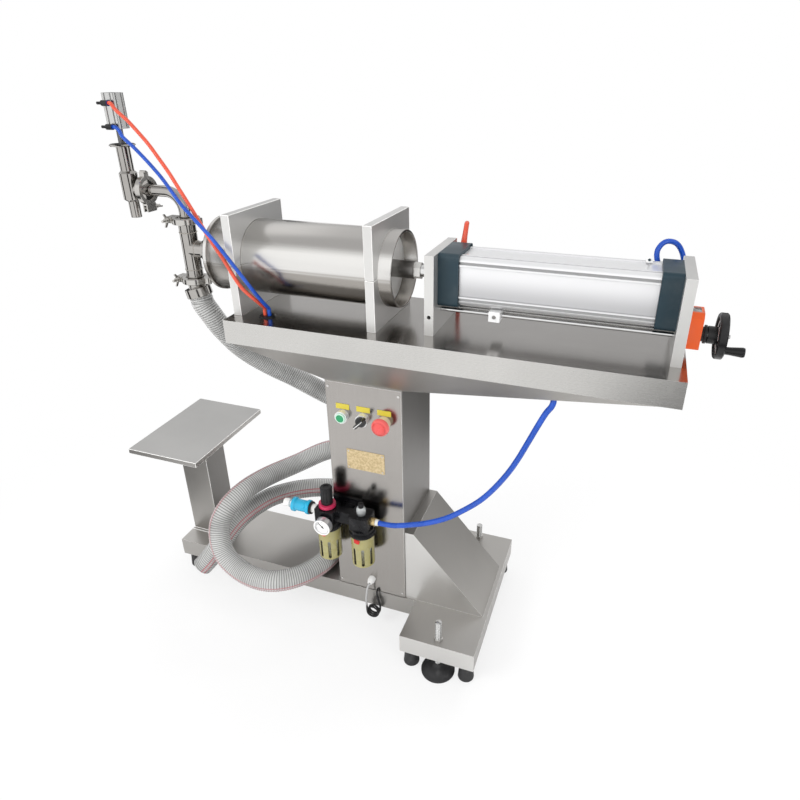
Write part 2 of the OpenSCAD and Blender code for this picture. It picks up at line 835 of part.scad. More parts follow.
pipe_small = 25;
thin_bore = 21;
bend_r = 42;
side_reach = 43;
side_rise = 126;
clamp1_x = nozzle_x + side_reach;
side_z = axis_z + side_rise;
clamp2_z = tee_z[1] + ferrule_l + gasket_t / 2;
clamp3_z = tee_z[0] - ferrule_l - gasket_t / 2;
module ferrule_ring(bore, length) {
    rotate_extrude() polygon([
        [bore / 2, 0], [ferrule_d / 2, 0], [ferrule_d / 2, rim_w], [ferrule_root / 2, ferrule_t],
        [pipe_small / 2, ferrule_t], [pipe_small / 2, length], [bore / 2, length]
    ]);
}
module elbow_pipe() {
    corner = [tee_x - bend_r, side_z - bend_r];
    color(chrome) {
        translate([clamp1_x + gasket_t / 2, 0, side_z]) rotate([0, quarter, 0])
            ferrule_ring(thin_bore, ferrule_l);
        tube_x([clamp1_x + gasket_t / 2 + ferrule_l, corner[0]], 0, side_z, pipe_small, thin_bore);
        translate([corner[0], 0, corner[1]]) rotate([quarter, 0, 0]) rotate_extrude(angle = quarter)
            translate([bend_r, 0]) difference() {
                circle(d = pipe_small);
                circle(d = thin_bore);
            }
        tube_z(tee_x, 0, [clamp2_z + gasket_t / 2 + ferrule_l, corner[1]], pipe_small, thin_bore);
        translate([tee_x, 0, clamp2_z + gasket_t / 2]) ferrule_ring(thin_bore, ferrule_l);
    }
}

tip_z = deck_top + nozzle_rise;
tip_l = 36;
tip_bore = 20;
lip_bore = 16;
lip_l = 8;
chamber_d = 39;
chamber_z = [41, 98];
barrel_neck_d = 29;
neck_l = 160;
flange_d = 56;
flange_t = 5;
flange_rim = 3;
stem_d = 10;
module nozzle_body() {
    color(chrome) difference() {
        union() {
            turned_z(nozzle_x, 0, tip_z, [
                [0, 0], [tip_d / 2 - bevel, 0], [tip_d / 2, bevel], [tip_d / 2, tip_l],
                [chamber_d / 2, chamber_z[0]], [chamber_d / 2, chamber_z[1]],
                [barrel_neck_d / 2, chamber_z[1] + flange_t], [barrel_neck_d / 2, neck_l - flange_t],
                [flange_d / 2 - flange_rim, neck_l - flange_t],
                [flange_d / 2, neck_l - flange_t / 2],
                [flange_d / 2 - flange_rim, neck_l], [0, neck_l]
            ]);
            bar_x([nozzle_x, clamp1_x - gasket_t / 2 - ferrule_l], 0, side_z, pipe_small);
            translate([clamp1_x - gasket_t / 2, 0, side_z]) rotate([0, -quarter, 0])
                ferrule_ring(thin_bore, ferrule_l);
        }
        bar_z(nozzle_x, 0, [tip_z - sheet, tip_z + lip_l + sheet], lip_bore);
        bar_z(nozzle_x, 0, [tip_z + lip_l, tip_z + neck_l - 2 * flange_t], tip_bore);
        bar_z(nozzle_x, 0, [tip_z, tip_z + neck_l + sheet], stem_d + 2 * fit_gap);
        bar_x([nozzle_x, clamp1_x], 0, side_z, thin_bore);
    }
}

head_s = 32;
head_rise = 191;
head_h = 72;
head_z = [tip_z + head_rise, tip_z + head_rise + head_h];
head_bore = 22;
head_wall = 6;
head_groove = 3;
head_groove_at = 8;
head_neck_d = 14;
stem_lift = 12;
module nozzle_cylinder() {
    color(alu) difference() {
        union() {
            translate([nozzle_x, 0, head_z[0]]) linear_extrude(height = head_z[1] - head_z[0]) difference() {
                soft_square(head_s, head_s, sheet);
                for (a = [0 : quarter : full_turn - quarter], s = [-1, 1]) rotate(a)
                    translate([head_s / 2, s * head_groove_at])
                        square([head_groove, head_groove], center = true);
            }
            bar_z(nozzle_x, 0, [tip_z + neck_l, head_z[0]], head_neck_d);
        }
        bar_z(nozzle_x, 0, [head_z[0] + head_wall, head_z[1] - head_wall], head_bore);
        bar_z(nozzle_x, 0, [tip_z + neck_l - sheet, head_z[0] + 2 * head_wall], stem_d + 2 * fit_gap);
    }
}
head_piston_t = 12;
module nozzle_stem() {
    plug = lip_bore - 2 * fit_gap;
    top = head_z[0] + 2 * head_wall + head_piston_t;
    color(chrome) turned_z(nozzle_x, 0, tip_z, [
        [0, 0], [plug / 2, 0], [plug / 2, lip_l + sheet], [stem_d / 2, lip_l + stem_d],
        [stem_d / 2, top - head_piston_t - tip_z], [head_bore / 2 - fit_gap, top - head_piston_t - tip_z],
        [head_bore / 2 - fit_gap, top - tip_z], [0, top - tip_z]
    ]);
}

// A tri-clamp about the Z axis: two half rings, a hinge on one side and a swing bolt on the other
clamp_od = 62;
clamp_t = 13;
clamp_slit = 1;
jaw_r = 22.2;
jaw_gap = 0.15;
ear_l = 16;
ear_w = 14;
ear_gap = 7;
bolt_d = 6;
bolt_l = 42;
bolt_tail = 10;
wing_hub_d = 11;
wing_l = 12;
wing_t = 3;
wing_span = 30;
wing_root = 6;
wing_share = 0.6;
hub_share = 0.7;
bolt_at = clamp_od / 2 + ear_l / 2;
module tri_clamp() {
    rim = rim_w + gasket_t / 2 + jaw_gap;
    root = ferrule_t + gasket_t / 2 + jaw_gap;
    difference() {
        union() {
            rotate_extrude() polygon([
                [jaw_r, clamp_t / 2], [clamp_od / 2 - bevel, clamp_t / 2],
                [clamp_od / 2, clamp_t / 2 - bevel], [clamp_od / 2, -clamp_t / 2 + bevel],
                [clamp_od / 2 - bevel, -clamp_t / 2], [jaw_r, -clamp_t / 2],
                [jaw_r, -root], [ferrule_d / 2 + jaw_gap, -rim], [ferrule_d / 2 + jaw_gap, rim], [jaw_r, root]
            ]);
            // Ears of the bolt side and of the hinge side
            block(
                [-clamp_od / 2 - ear_l, -clamp_od / 2 + sheet], [-ear_w, ear_w], [-clamp_t / 2, clamp_t / 2]
            );
            block(
                [clamp_od / 2 - sheet, clamp_od / 2 + ear_l / 2], [-ear_w / 2, ear_w / 2],
                [-clamp_t / 2, clamp_t / 2]
            );
        }
        // The slit between the halves
        block([-clamp_od, -pipe_d / 2], [-clamp_slit / 2, clamp_slit / 2], [-clamp_t, clamp_t]);
        // The slot for the swing bolt
        block(
            [-clamp_od, -clamp_od / 2 - sheet], [-ear_w - sheet, ear_w + sheet], [-ear_gap / 2, ear_gap / 2]
        );
    }
    // Hinge pin and swing bolt
    bar_z(clamp_od / 2 + ear_l / 2, 0, [-clamp_t / 2 - bevel, clamp_t / 2 + bevel], ear_w / 2);
    bar_y(-bolt_at, [-bolt_l + bolt_tail, bolt_tail], 0, bolt_d);
    bar_z(-bolt_at, bolt_tail - bolt_d / 2, [-clamp_t / 2, clamp_t / 2], bolt_d);
}
module at_clamp(i) {
    if (i == 0) translate([clamp1_x, 0, side_z]) rotate([0, quarter, 0]) rotate(clamp_turns[0]) children();
    if (i == 1) translate([tee_x, 0, clamp2_z]) rotate(clamp_turns[1]) children();
    if (i == 2) translate([tee_x, 0, clamp3_z]) rotate(clamp_turns[2]) children();
}
clamp_turns = [180, 0, 0];
module tri_clamps() {
    color(chrome) for (i = [0 : 2]) at_clamp(i) tri_clamp();
}
module wing_nut(i) {
    color(chrome) at_clamp(i) translate([-bolt_at, -ear_w - end_gap, 0])
        rotate([quarter, quarter, 0]) difference() {
        union() {
            cylinder(h = wing_l * hub_share, d = wing_hub_d);
            translate([0, wing_t / 2, 0]) rotate([quarter, 0, 0]) linear_extrude(height = wing_t) polygon([
                [-wing_root, 0], [wing_root, 0], [wing_span / 2, wing_l * wing_share],
                [wing_span / 2 - bevel, wing_l], [wing_root, wing_l * wing_share],
                [-wing_root, wing_l * wing_share], [-wing_span / 2 + bevel, wing_l],
                [-wing_span / 2, wing_l * wing_share]
            ]);
        }
        translate([0, 0, -sheet]) cylinder(h = 2 * wing_l, d = bolt_d + 2 * fit_gap);
    }
}
module wing_nut_nozzle() {
    wing_nut(0);
}
module wing_nut_upper() {
    wing_nut(1);
}
module wing_nut_lower() {
    wing_nut(2);
}
module clamp_gaskets() {
    color(white) for (i = [0 : 2]) at_clamp(i) difference() {
        cylinder(h = gasket_t, d = ferrule_d, center = true);
        cylinder(h = gasket_t + sheet, d = i < 2 ? thin_bore : pipe_bore, center = true);
    }
}

crimp_l = 22;
crimp_d = 60;
crimp_lean = 14;
crimp_bore = 40;
crimp_step = 6;
adapter_l = 18;
adapter_z = clamp3_z - gasket_t / 2;
crimp_top = adapter_z - adapter_l;
module hose_adapter() {
    color(chrome) difference() {
        union() {
            turned_z(tee_x, 0, crimp_top, [
                [0, -crimp_step], [pipe_d / 2, -crimp_step], [pipe_d / 2, adapter_l - ferrule_t],
                [ferrule_root / 2, adapter_l - ferrule_t], [ferrule_d / 2, adapter_l - rim_w],
                [ferrule_d / 2, adapter_l], [0, adapter_l]
            ]);
            // The crimp collar, which leans with the hose
            translate([tee_x, 0, crimp_top]) rotate([0, -crimp_lean, 0]) rotate_extrude() polygon([
                [0, -crimp_l], [crimp_d / 2 - bevel, -crimp_l], [crimp_d / 2, -crimp_l + bevel],
                [crimp_d / 2, -bevel], [crimp_d / 2 - bevel, 0], [0, 0]
            ]);
        }
        bar_z(tee_x, 0, [crimp_top - 2 * crimp_step + bevel, adapter_z + sheet], pipe_bore);
        translate([tee_x, 0, crimp_top]) rotate([0, -crimp_lean, 0])
            translate([0, 0, -2 * crimp_l]) cylinder(h = 2 * crimp_l - crimp_step, d = crimp_bore);
    }
}

// FILTER, REGULATOR AND LUBRICATOR
unit_reach = 38;
frl_y = panel_y[0] - unit_reach;
port_z = 350;
unit_pitch = 86;
unit_x = [column_x - unit_pitch, column_x];
unit_w = 48;
unit_z = [331, 366];
ring_d = 57;
ring_z = [314, 331];
guard_d = 54;
guard_bore = 48;
guard_z = [222, 315];
guard_foot = 6;
slot_w = 7;
slot_h = 42;
slot_z = 232;
slot_turn = 45;
lock_d = 10;
lock_z = 304;
bowl_d = 46;
drain_d = 12;
drain_l = 14;
bonnet_d = 34;
knob_ring_d = 40;
knob_ring_z = [368, 376];
knob_d = 28;
knob_z = [376.4, 421];
chamfer = 5;
module unit_block(x) {
    translate([x, frl_y, unit_z[0]]) linear_extrude(height = unit_z[1] - unit_z[0])
        soft_square(unit_w, unit_w, chamfer);
    bar_z(x, frl_y, ring_z, ring_d);
}
module air_unit_bodies() {
    regulator_body();
    lubricator_body();
    frl_bracket();
}
module regulator_body() {
    color(black) difference() {
        union() {
            unit_block(unit_x[0]);
            bar_z(unit_x[0], frl_y, [unit_z[1], knob_ring_z[0]], bonnet_d);
            bar_y(unit_x[0] + gauge_shift, [gauge_y[1], frl_y], gauge_z, gauge_stem_d);
        }
        bar_z(unit_x[0], frl_y, [ring_z[0] - sheet, ring_z[0] + bowl_seat], bowl_d);
    }
    color(magenta) tube_z(unit_x[0], frl_y, knob_ring_z, knob_ring_d, knob_ring_d / 2);
    color(black) bar_z(unit_x[0], frl_y, [knob_ring_z[0] - sheet, knob_ring_z[1]], knob_ring_d / 2);
}
bowl_seat = 8;
module regulator_knob() {
    color(black) difference() {
        turned_z(unit_x[0], frl_y, knob_z[0], [
            [0, 0], [knob_d / 2, 0], [knob_d / 2, knob_z[1] - knob_z[0] - sheet],
            [knob_d / 2 - sheet, knob_z[1] - knob_z[0]], [knob_d / 4, knob_z[1] - knob_z[0]],
            [knob_d / 4, knob_z[1] - knob_z[0] - sheet], [0, knob_z[1] - knob_z[0] - sheet]
        ]);
        for (a = [0 : knob_step : full_turn - knob_step])
            translate([unit_x[0], frl_y, knob_z[0]]) rotate(a) translate([knob_d / 2, 0, knob_skirt])
                cylinder(h = knob_z[1], d = knob_flute);
    }
}
knob_step = 30;
knob_flute = 3;
knob_skirt = 8;
dome_d = 22;
dome_z = 384;
module lubricator_body() {
    color(black) {
        difference() {
            unit_block(unit_x[1]);
            bar_z(unit_x[1], frl_y, [ring_z[0] - sheet, ring_z[0] + bowl_seat], bowl_d);
        }
    }
}
module sight_dome() {
    color(clear) turned_z(unit_x[1], frl_y, unit_z[1], [
        [0, 0], [dome_d / 2, 0], [dome_d / 2, dome_z - unit_z[1] - chamfer],
        [dome_d / 2 - chamfer / 2, dome_z - unit_z[1]], [0, dome_z - unit_z[1]]
    ]);
}
module sight_glasses() {
    sight_dome();
    bowls();
    indicator_window();
}
oil_screw_d = 13;
oil_screw_l = 10;
module oil_screw() {
    color(black) translate([unit_x[1], frl_y, dome_z + end_gap]) difference() {
        cylinder(h = oil_screw_l, d = oil_screw_d);
        translate([0, 0, oil_screw_l]) cube([2 * oil_screw_d, sheet, 2 * sheet], center = true);
    }
}
module bowl_guards() {
    color(olive) for (x = unit_x) difference() {
        turned_z(x, frl_y, guard_z[0], [
            [drain_d / 2, 0], [guard_d / 2 - guard_foot, 0], [guard_d / 2, guard_foot],
            [guard_d / 2, guard_z[1] - guard_z[0] - bevel],
            [guard_bore / 2, guard_z[1] - guard_z[0] - bevel],
            [guard_bore / 2, guard_foot], [drain_d / 2, sheet]
        ]);
        for (a = [0 : slot_turn : full_turn - slot_turn])
            translate([x, frl_y, slot_z]) rotate(a + slot_turn / 2) {
                translate([guard_d / 2 - 2 * sheet, -slot_w / 2, slot_w / 2])
                    cube([4 * sheet, slot_w, slot_h]);
                for (z = [0, slot_h]) translate([guard_d / 2 - 2 * sheet, 0, z + slot_w / 2])
                    rotate([0, quarter, 0]) cylinder(h = 4 * sheet, d = slot_w);
            }
    }
    color(red) for (x = unit_x)
        bar_y(x, [frl_y - guard_d / 2 - sheet, frl_y - guard_bore / 2], lock_z, lock_d);
}
module bowls() {
    color(clear) for (x = unit_x) turned_z(x, frl_y, guard_z[0] + guard_foot, [
        [0, 0], [bowl_d / 2 - guard_foot, 0], [bowl_d / 2, guard_foot],
        [bowl_d / 2, ring_z[0] + bowl_seat - guard_z[0] - guard_foot],
        [bowl_d / 2 - sheet, ring_z[0] + bowl_seat - guard_z[0] - guard_foot],
        [bowl_d / 2 - sheet, guard_foot + bevel], [0, sheet]
    ]);
}
module drain_screw(x) {
    color(black) translate([x, frl_y, guard_z[0] - drain_l]) difference() {
        cylinder(h = drain_l + guard_foot - fit_gap, d = drain_d - 2 * fit_gap);
        translate([0, 0, -sheet]) cylinder(h = drain_l, d = drain_d / 3);
    }
}

gauge_shift = 6;
gauge_z = 338;
gauge_d = 41;
gauge_reach = [46, 30];
gauge_y = [frl_y - gauge_reach[0], frl_y - gauge_reach[1]];
gauge_stem_d = 14;
gauge_rim = 3;
dial_in = 4;
needle_l = 14;
needle_tail = 5;
needle_w = 1.6;
needle_t = 0.8;
needle_hub = 4;
needle_rest = 135;
module pressure_gauge() {
    x = unit_x[0] + gauge_shift;
    color(white) difference() {
        bar_y(x, gauge_y, gauge_z, gauge_d);
        bar_y(x, [gauge_y[0] - sheet, gauge_y[0] + dial_in], gauge_z, gauge_d - 2 * gauge_rim);
    }
}
module gauge_needle() {
    x = unit_x[0] + gauge_shift;
    color(black) translate([x, gauge_y[0] + dial_in - end_gap, gauge_z]) rotate([quarter, 0, 0]) {
        cylinder(h = needle_t, d = needle_hub);
        rotate(needle_rest) linear_extrude(height = needle_t)
            polygon([
                [-needle_tail, -needle_w / 2], [needle_l, -needle_w / 4], [needle_l, needle_w / 4],
                [-needle_tail, needle_w / 2]
            ]);
    }
}

bridge_w = 22;
bridge_h = 30;
bridge_plate = [74, 46, 3];
module frl_bracket() {
    mid = (unit_x[0] + unit_x[1]) / 2;
    color(dark) {
        block(
            [unit_x[0] + unit_w / 2, unit_x[1] - unit_w / 2], [frl_y - bridge_w / 2, frl_y + bridge_w / 2],
            [port_z - bridge_h / 2, port_z + bridge_h / 2]
        );
        block(
            [mid - bridge_w / 2, mid + bridge_w / 2], [frl_y, panel_y[0] - bridge_plate[2]],
            [port_z - bridge_h / 4, port_z + bridge_h / 4]
        );
        block(
            [side_x[0] + sheet, side_x[0] + sheet + bridge_plate[0]],
            [panel_y[0] - bridge_plate[2], panel_y[0]],
            [port_z - bridge_plate[1] / 2, port_z + bridge_plate[1] / 2]
        );
    }
}

valve_d = 14;
valve_bore = 8;
stop_ring = [30, 5];
sleeve_l = 46;
sleeve_d = 34;
sleeve_waist = 28;
sleeve_travel = 7;
inlet_l = 15;
inlet_d = 19;
inlet_bore = 12;
inlet_bore_l = 12;
valve_nut_l = 16;
valve_x0 = unit_x[0] - unit_w / 2;
sleeve_x = [valve_x0 - valve_nut_l - stop_ring[1] - sleeve_l, valve_x0 - valve_nut_l - stop_ring[1]];
inlet_end = sleeve_x[0] - sleeve_travel - bevel;
inlet_x = [inlet_end - inlet_l, inlet_end];
module slide_valve() {
    color(white) difference() {
        union() {
            bar_x([inlet_x[0], valve_x0], frl_y, port_z, valve_d);
            bar_x([valve_x0 - valve_nut_l, valve_x0], frl_y, port_z, inlet_d + sheet);
            bar_x([sleeve_x[1] + fit_gap, valve_x0 - valve_nut_l], frl_y, port_z, stop_ring[0]);
            bar_x(inlet_x, frl_y, port_z, inlet_d);
        }
        bar_x([inlet_x[0] - sheet, valve_x0 - sheet], frl_y, port_z, valve_bore);
        bar_x([inlet_x[0] - sheet, inlet_x[0] + inlet_bore_l], frl_y, port_z, inlet_bore);
    }
}
module slide_sleeve() {
    color(cyan) turned_x(sleeve_x[0], frl_y, port_z, [
        [valve_d / 2 + fit_gap, 0], [sleeve_d / 2 - bevel, 0], [sleeve_d / 2, bevel],
        [sleeve_d / 2, sleeve_l / 6], [sleeve_waist / 2, sleeve_l / 4],
        [sleeve_waist / 2, sleeve_l * 3 / 4], [sleeve_d / 2, sleeve_l * 5 / 6],
        [sleeve_d / 2, sleeve_l - bevel], [sleeve_d / 2 - bevel, sleeve_l],
        [valve_d / 2 + fit_gap, sleeve_l]
    ]);
}

// CONTROLS
bezel_d = 29;
bezel_h = 14;
bezel_y = [panel_y[0] - bezel_h, panel_y[0]];
switch_body = [30, 40, 44];
button_d = 23;
button_well = 6.4;
plunger_d = 12;
button_travel = 4;
button_proud = 4;
stop_stem_d = 16;
stop_travel = 5;
knob_stem_d = 10;
function switch_x(i) = column_x + i * switch_pitch;
module switch_housing(x, bore, depth) {
    difference() {
        union() {
            bar_y(x, bezel_y, switch_z, bezel_d);
            bar_y(x, [bezel_y[0], panel_y[1] + 2 * sheet], switch_z, switch_hole - 2 * fit_gap);
            block(
                [x - switch_body[0] / 2, x + switch_body[0] / 2],
                [panel_y[1] + 2 * sheet, panel_y[1] + 2 * sheet + switch_body[1]],
                [switch_z - switch_body[2] / 2, switch_z + switch_body[2] / 2]
            );
        }
        bar_y(x, [bezel_y[0] - sheet, bezel_y[0] + depth], switch_z, bore + 2 * fit_gap);
    }
}
module switch_housings() {
    color(bright) {
        difference() {
            switch_housing(switch_x(-1), plunger_d, button_in);
            bar_y(
                switch_x(-1), [bezel_y[0] - sheet, bezel_y[0] + button_well], switch_z, button_d + 2 * fit_gap
            );
        }
        switch_housing(switch_x(0), knob_stem_d, button_in);
        switch_housing(switch_x(1), stop_stem_d, button_in);
    }
}
button_in = 22;
module green_button() {
    reach = button_in - button_travel - bevel;
    seat = reach - button_well + button_travel + end_gap;
    color(green) turned_front(switch_x(-1), bezel_y[0] + reach, switch_z, [
        [0, 0], [plunger_d / 2, 0], [plunger_d / 2, seat], [button_d / 2, seat],
        [button_d / 2, reach + button_proud - bevel], [button_d / 2 - bevel, reach + button_proud],
        [0, reach + button_proud]
    ]);
}
selector_d = 24;
selector_base = 4;
selector_h = 16;
lever_w = 8;
lever_l = 30;
selector_rest = 45;
module selector_knob() {
    color(black) translate([switch_x(0), bezel_y[0] - end_gap, switch_z]) rotate([quarter, 0, 0]) {
        cylinder(h = selector_base, d = selector_d);
        translate([0, 0, bevel - button_in]) cylinder(h = button_in, d = knob_stem_d);
        rotate(-selector_rest) linear_extrude(height = selector_h) {
            square([lever_w, lever_l - lever_w], center = true);
            for (s = [-1, 1]) translate([0, s * (lever_l - lever_w) / 2]) circle(d = lever_w);
        }
    }
}
stop_d_head = 40;
stop_h = 15;
stop_gap = 6;
module estop_head() {
    reach = button_in - stop_travel - bevel;
    color(red) turned_front(switch_x(1), bezel_y[0] + reach, switch_z, [
        [0, 0], [stop_stem_d / 2, 0], [stop_stem_d / 2, reach + stop_gap - bevel],
        [stop_d_head / 2 - bevel, reach + stop_gap], [stop_d_head / 2, reach + stop_gap + bevel],
        [stop_d_head / 2, reach + stop_gap + stop_h / 3],
        [stop_d_head / 2 - sheet, reach + stop_gap + stop_h * 2 / 3],
        [stop_d_head / 2 - 3 * sheet, reach + stop_gap + stop_h - sheet],
        [stop_d_head / 4, reach + stop_gap + stop_h], [0, reach + stop_gap + stop_h]
    ]);
}
legend = [32, 13];
legend_z = 617;
legend_t = 1;
name_plate = [92, 52];
name_z = 484;
module label_plates() {
    y = [panel_y[0] - legend_t, panel_y[0]];
    color(yellow) for (i = [-1, 0, 1]) block(
        [switch_x(i) - legend[0] / 2, switch_x(i) + legend[0] / 2], y,
        [legend_z - legend[1] / 2, legend_z + legend[1] / 2]
    );
    color(gold) block(
        [column_x - name_plate[0] / 2, column_x + name_plate[0] / 2], y,
        [name_z - name_plate[1] / 2, name_z + name_plate[1] / 2]
    );
}
gland_l = 18;
gland_d = 18;
gland_tip = 11;
gland_rear = 8;
module cable_gland() {
    color(white) turned_front(gland_x, panel_y[0], gland_z, [
        [0, -gland_rear], [gland_hole / 2, -gland_rear], [gland_hole / 2, 0], [gland_d / 2, 0],
        [gland_d / 2, gland_l / 2], [gland_tip / 2, gland_l], [0, gland_l]
    ]);
}
grommet_lip = 4;
grommet_t = 3;
module grommets() {
    color(black) {
        difference() {
            union() {
                bar_z(grommet_x, grommet_y, [deck_top - sheet, deck_top], grommet_hole);
                turned_z(grommet_x, grommet_y, deck_top, [
                    [0, 0], [grommet_hole / 2 + grommet_lip, 0], [grommet_hole / 2 + bevel, grommet_t],
                    [0, grommet_t]
                ]);
            }
            for (s = [-1, 1]) bar_z(
                grommet_x + s * tube_gap, grommet_y,
                [deck_top - 2 * sheet, deck_top + 2 * grommet_t], nozzle_tube_d + 2 * tube_off
            );
        }
        for (x = [orange_drop_x, blue_drop_x])
            tube_z(x, drop_y, [deck_top - sheet, deck_top + grommet_t], drop_hole, cyl_tube_d + 2 * tube_off);
    }
}
tube_gap = 5.4;
tube_off = 0.3;

// FITTINGS
out_x = unit_x[1] + unit_w / 2;
out_l = 18;
out_nut_l = 11;
fitting_d = 20;
collar_ring = 15;
elbow_rise = 34;
elbow_d = 15;
elbow_lean = [0, 26];
module fittings() {
    cable_gland();
    grommets();
    for (x = unit_x) drain_screw(x);
    color(gold) bar_x([out_x, out_x + out_nut_l], frl_y, port_z, fitting_d);
    color(white) bar_x([out_x + out_nut_l, out_x + out_l], frl_y, port_z, collar_ring);
    // Elbows on the rear ports
    color(chrome) for (i = [0, 1]) {
        bar_y(port_x[i], [cap_s / 2 - set_screw_d, elbow_y], air_port_z, air_port_d);
        translate([port_x[i], elbow_y, air_port_z]) {
            sphere(d = elbow_d);
            rotate([0, -elbow_lean[i], 0]) cylinder(h = elbow_rise, d = elbow_d);
        }
    }
    // Banjo fittings of the nozzle
    color(black) for (z = head_port_z) {
        bar_y(nozzle_x, [head_fit_y, -head_s / 2], z, head_pin_d);
        bar_x([nozzle_x - head_fit_l / 2, nozzle_x + head_fit_l / 2], head_fit_y, z, head_fit_d);
        bar_x([nozzle_x - head_knob_l, nozzle_x - head_fit_l / 2], head_fit_y, z, head_knob_d);
    }
}
elbow_out = 12;
elbow_y = cap_s / 2 + elbow_out;
head_out = 9;
head_fit_y = -head_s / 2 - head_out;
head_fit_d = 12;
head_fit_l = 16;
head_pin_d = 9;
head_knob_d = 6;
head_knob_l = 21;
head_port_in = [5, 20];
head_port_z = [head_z[0] + head_port_in[0], head_z[1] - head_port_in[1]];

// FASTENERS
nut_h = 7;
stud_nut_af = 19;
rivet_d = 4;
rivet_t = 1;
rivet_in = 5;
cap_screw_d = 8;
cap_screw_h = 1.5;
panel_screw_d = 6;
module fasteners() {
    color(bright) {
        // Lock nuts of the levelling feet, on the cross foot
        for (s = [-1, 1]) translate([cross_mid_x, s * foot_y, base_top]) difference() {
            cylinder(h = nut_h, d = stud_nut_af / cos(full_turn / 12), $fn = 6);
            translate([0, 0, -sheet]) cylinder(h = nut_h + 2 * sheet, d = stud_d + 2 * fit_gap);
        }
        // Rivets of the name plate
        for (i = [-1, 1], j = [-1, 1])
            bar_y(
                column_x + i * (name_plate[0] / 2 - rivet_in),
                [panel_y[0] - legend_t - rivet_t, panel_y[0] - legend_t],
                name_z + j * (name_plate[1] / 2 - rivet_in), rivet_d
            );
        // Screws of the front panel
        for (i = [-1, 1], j = [-1, 1])
            bar_y(
                column_x + i * (panel_w / 2 - panel_screw_d), [panel_y[0] - rivet_t, panel_y[0]],
                panel_mid + j * (panel_h / 2 - 2 * panel_screw_d), panel_screw_d
            );
    }
}

// SWEPT TUBES
// A smooth way through points, and rings swept along it without twist
function unit(v) = v / norm(v);
function blend_point(a, b, c, d, t) =
    (2 * b + (c - a) * t + (2 * a - 5 * b + 4 * c - d) * pow(t, 2) + (3 * b - a - 3 * c + d) * pow(t, 3)) / 2;
function way(p, n) = let (m = len(p) - 1) [
    for (i = [0 : m - 1], k = [0 : n - 1])
        blend_point(p[max(i - 1, 0)], p[i], p[i + 1], p[min(i + 2, m)], k / n),
    p[m]
];
function tangent(p, i) = unit(p[min(i + 1, len(p) - 1)] - p[max(i - 1, 0)]);
function sides(p, i, last) = i >= len(p) ? [] :
    let (t = tangent(p, i), v = unit(last - (last * t) * t)) concat([v], sides(p, i + 1, v));
function start_side(t) = unit(cross(t, abs(t[2]) < 0.9 ? [0, 0, 1] : [0, 1, 0]));
function ring(c, t, v, r, n) = let (w = cross(t, v)) [
    for (k = [0 : n - 1]) c + r * (cos(full_turn * k / n) * v + sin(full_turn * k / n) * w)
];
function frames(p) = sides(p, 0, start_side(tangent(p, 0)));
function rings(p, r, n, step = 1) = let (v = frames(p)) [
    for (i = [0 : step : len(p) - 1]) each ring(p[i], tangent(p, i), v[i], r[i % len(r)], n)
];
function quads(first, count, n) = [
    for (i = [0 : count - 2], k = [0 : n - 1]) let (
        a = first + i * n + k, b = first + i * n + (k + 1) % n
    ) each [[a, a + n, b], [b, a + n, b + n]]
];
module cord(p, d, n) {
    last = len(p) - 1;
    polyhedron(
        points = rings(p, [d / 2], n),
        faces = concat(
            quads(0, len(p), n), [[for (k = [0 : n - 1]) k]],
            [[for (k = [n - 1 : -1 : 0]) last * n + k]]
        )
    );
}
function spread(p, total) = let (
    steps = [for (i = [1 : len(p) - 1]) norm(p[i] - p[i - 1])],
    at = [for (i = 0, s = 0; i <= len(steps); s = s + (i < len(steps) ? steps[i] : 0), i = i + 1) s],
    long = at[len(at) - 1]
) [for (k = [0 : total]) point_at(p, at, long * k / total, 1)];
function point_at(p, at, s, i) = (i >= len(p) - 1 || at[i] >= s)
    ? let (a = at[i - 1], b = at[i]) p[i - 1] + (p[i] - p[i - 1]) * min(1, (s - a) / (b - a))
    : point_at(p, at, s, i + 1);

// SUCTION HOSE
function on_crimp(l) =
    [tee_x + (crimp_l + l) * sin(crimp_lean), 0, crimp_top - (crimp_l + l) * cos(crimp_lean)];
hose_route = [
    on_crimp(0), on_crimp(10), on_crimp(20), [-477, 4, 752], [-465, 12, 723], [-453, 26, 692],
    [-438, 46, 656], [-414, 70, 620], [-376, 94, 585], [-332, 113, 556], [-287, 127, 527], [-239, 137, 502],
    [-175, 141, 489], [-122, 145, 444], [-121, 144, 392], [-175, 140, 350],
    [-257, 128, 334], [-333, 88, 300], [-385, 10, 294], [-413, -60, 288], [-431, -112, 266],
    [-437, -145, 228], [-418, -168, 176], [-375, -178, 142], [-317, -182, 128], [-263, -172, 127],
    [-219, -136, 126],
    [-189, -84, 126], [-175, -20, 126], [-169, 50, 126], [-155, 116, 130], [-115, 160, 140], [-71, 168, 158],
    [-73, 166, 188], [-125, 152, 200], [-193, 142, 204], [-255, 130, 206], [-311, 100, 212], [-359, 55, 218],
    [-395, 0, 220], [-434, -62, 196], [-461, -112, 154], [-487, -140, 112], [-508, -155, 86]
];
rib_count = 138;
bore_step = 4;
rib_depth = 1.6;
hose_r = hose_bore / 2 + hose_wall;
rib_sides = 8;
module suction_hose() {
    path = spread(way(hose_route, 8), 2 * rib_count);
    n = rib_sides;
    count = len(path);
    first = count * n;
    last = 2 * rib_count / bore_step;
    color(clear) polyhedron(
        points = concat(
            rings(path, [hose_r, hose_r - rib_depth], n),
            rings(path, [hose_bore / 2], n, bore_step)
        ),
        faces = concat(
            quads(0, count, n),
            [for (f = quads(first, last + 1, n)) [f[0], f[2], f[1]]],
            [for (k = [0 : n - 1]) let (m = (k + 1) % n) each [
                [k, m, first + k], [m, first + m, first + k],
                [(count - 1) * n + k, first + last * n + k, (count - 1) * n + m],
                [(count - 1) * n + m, first + last * n + k, first + last * n + m]
            ]]
        )
    );
}

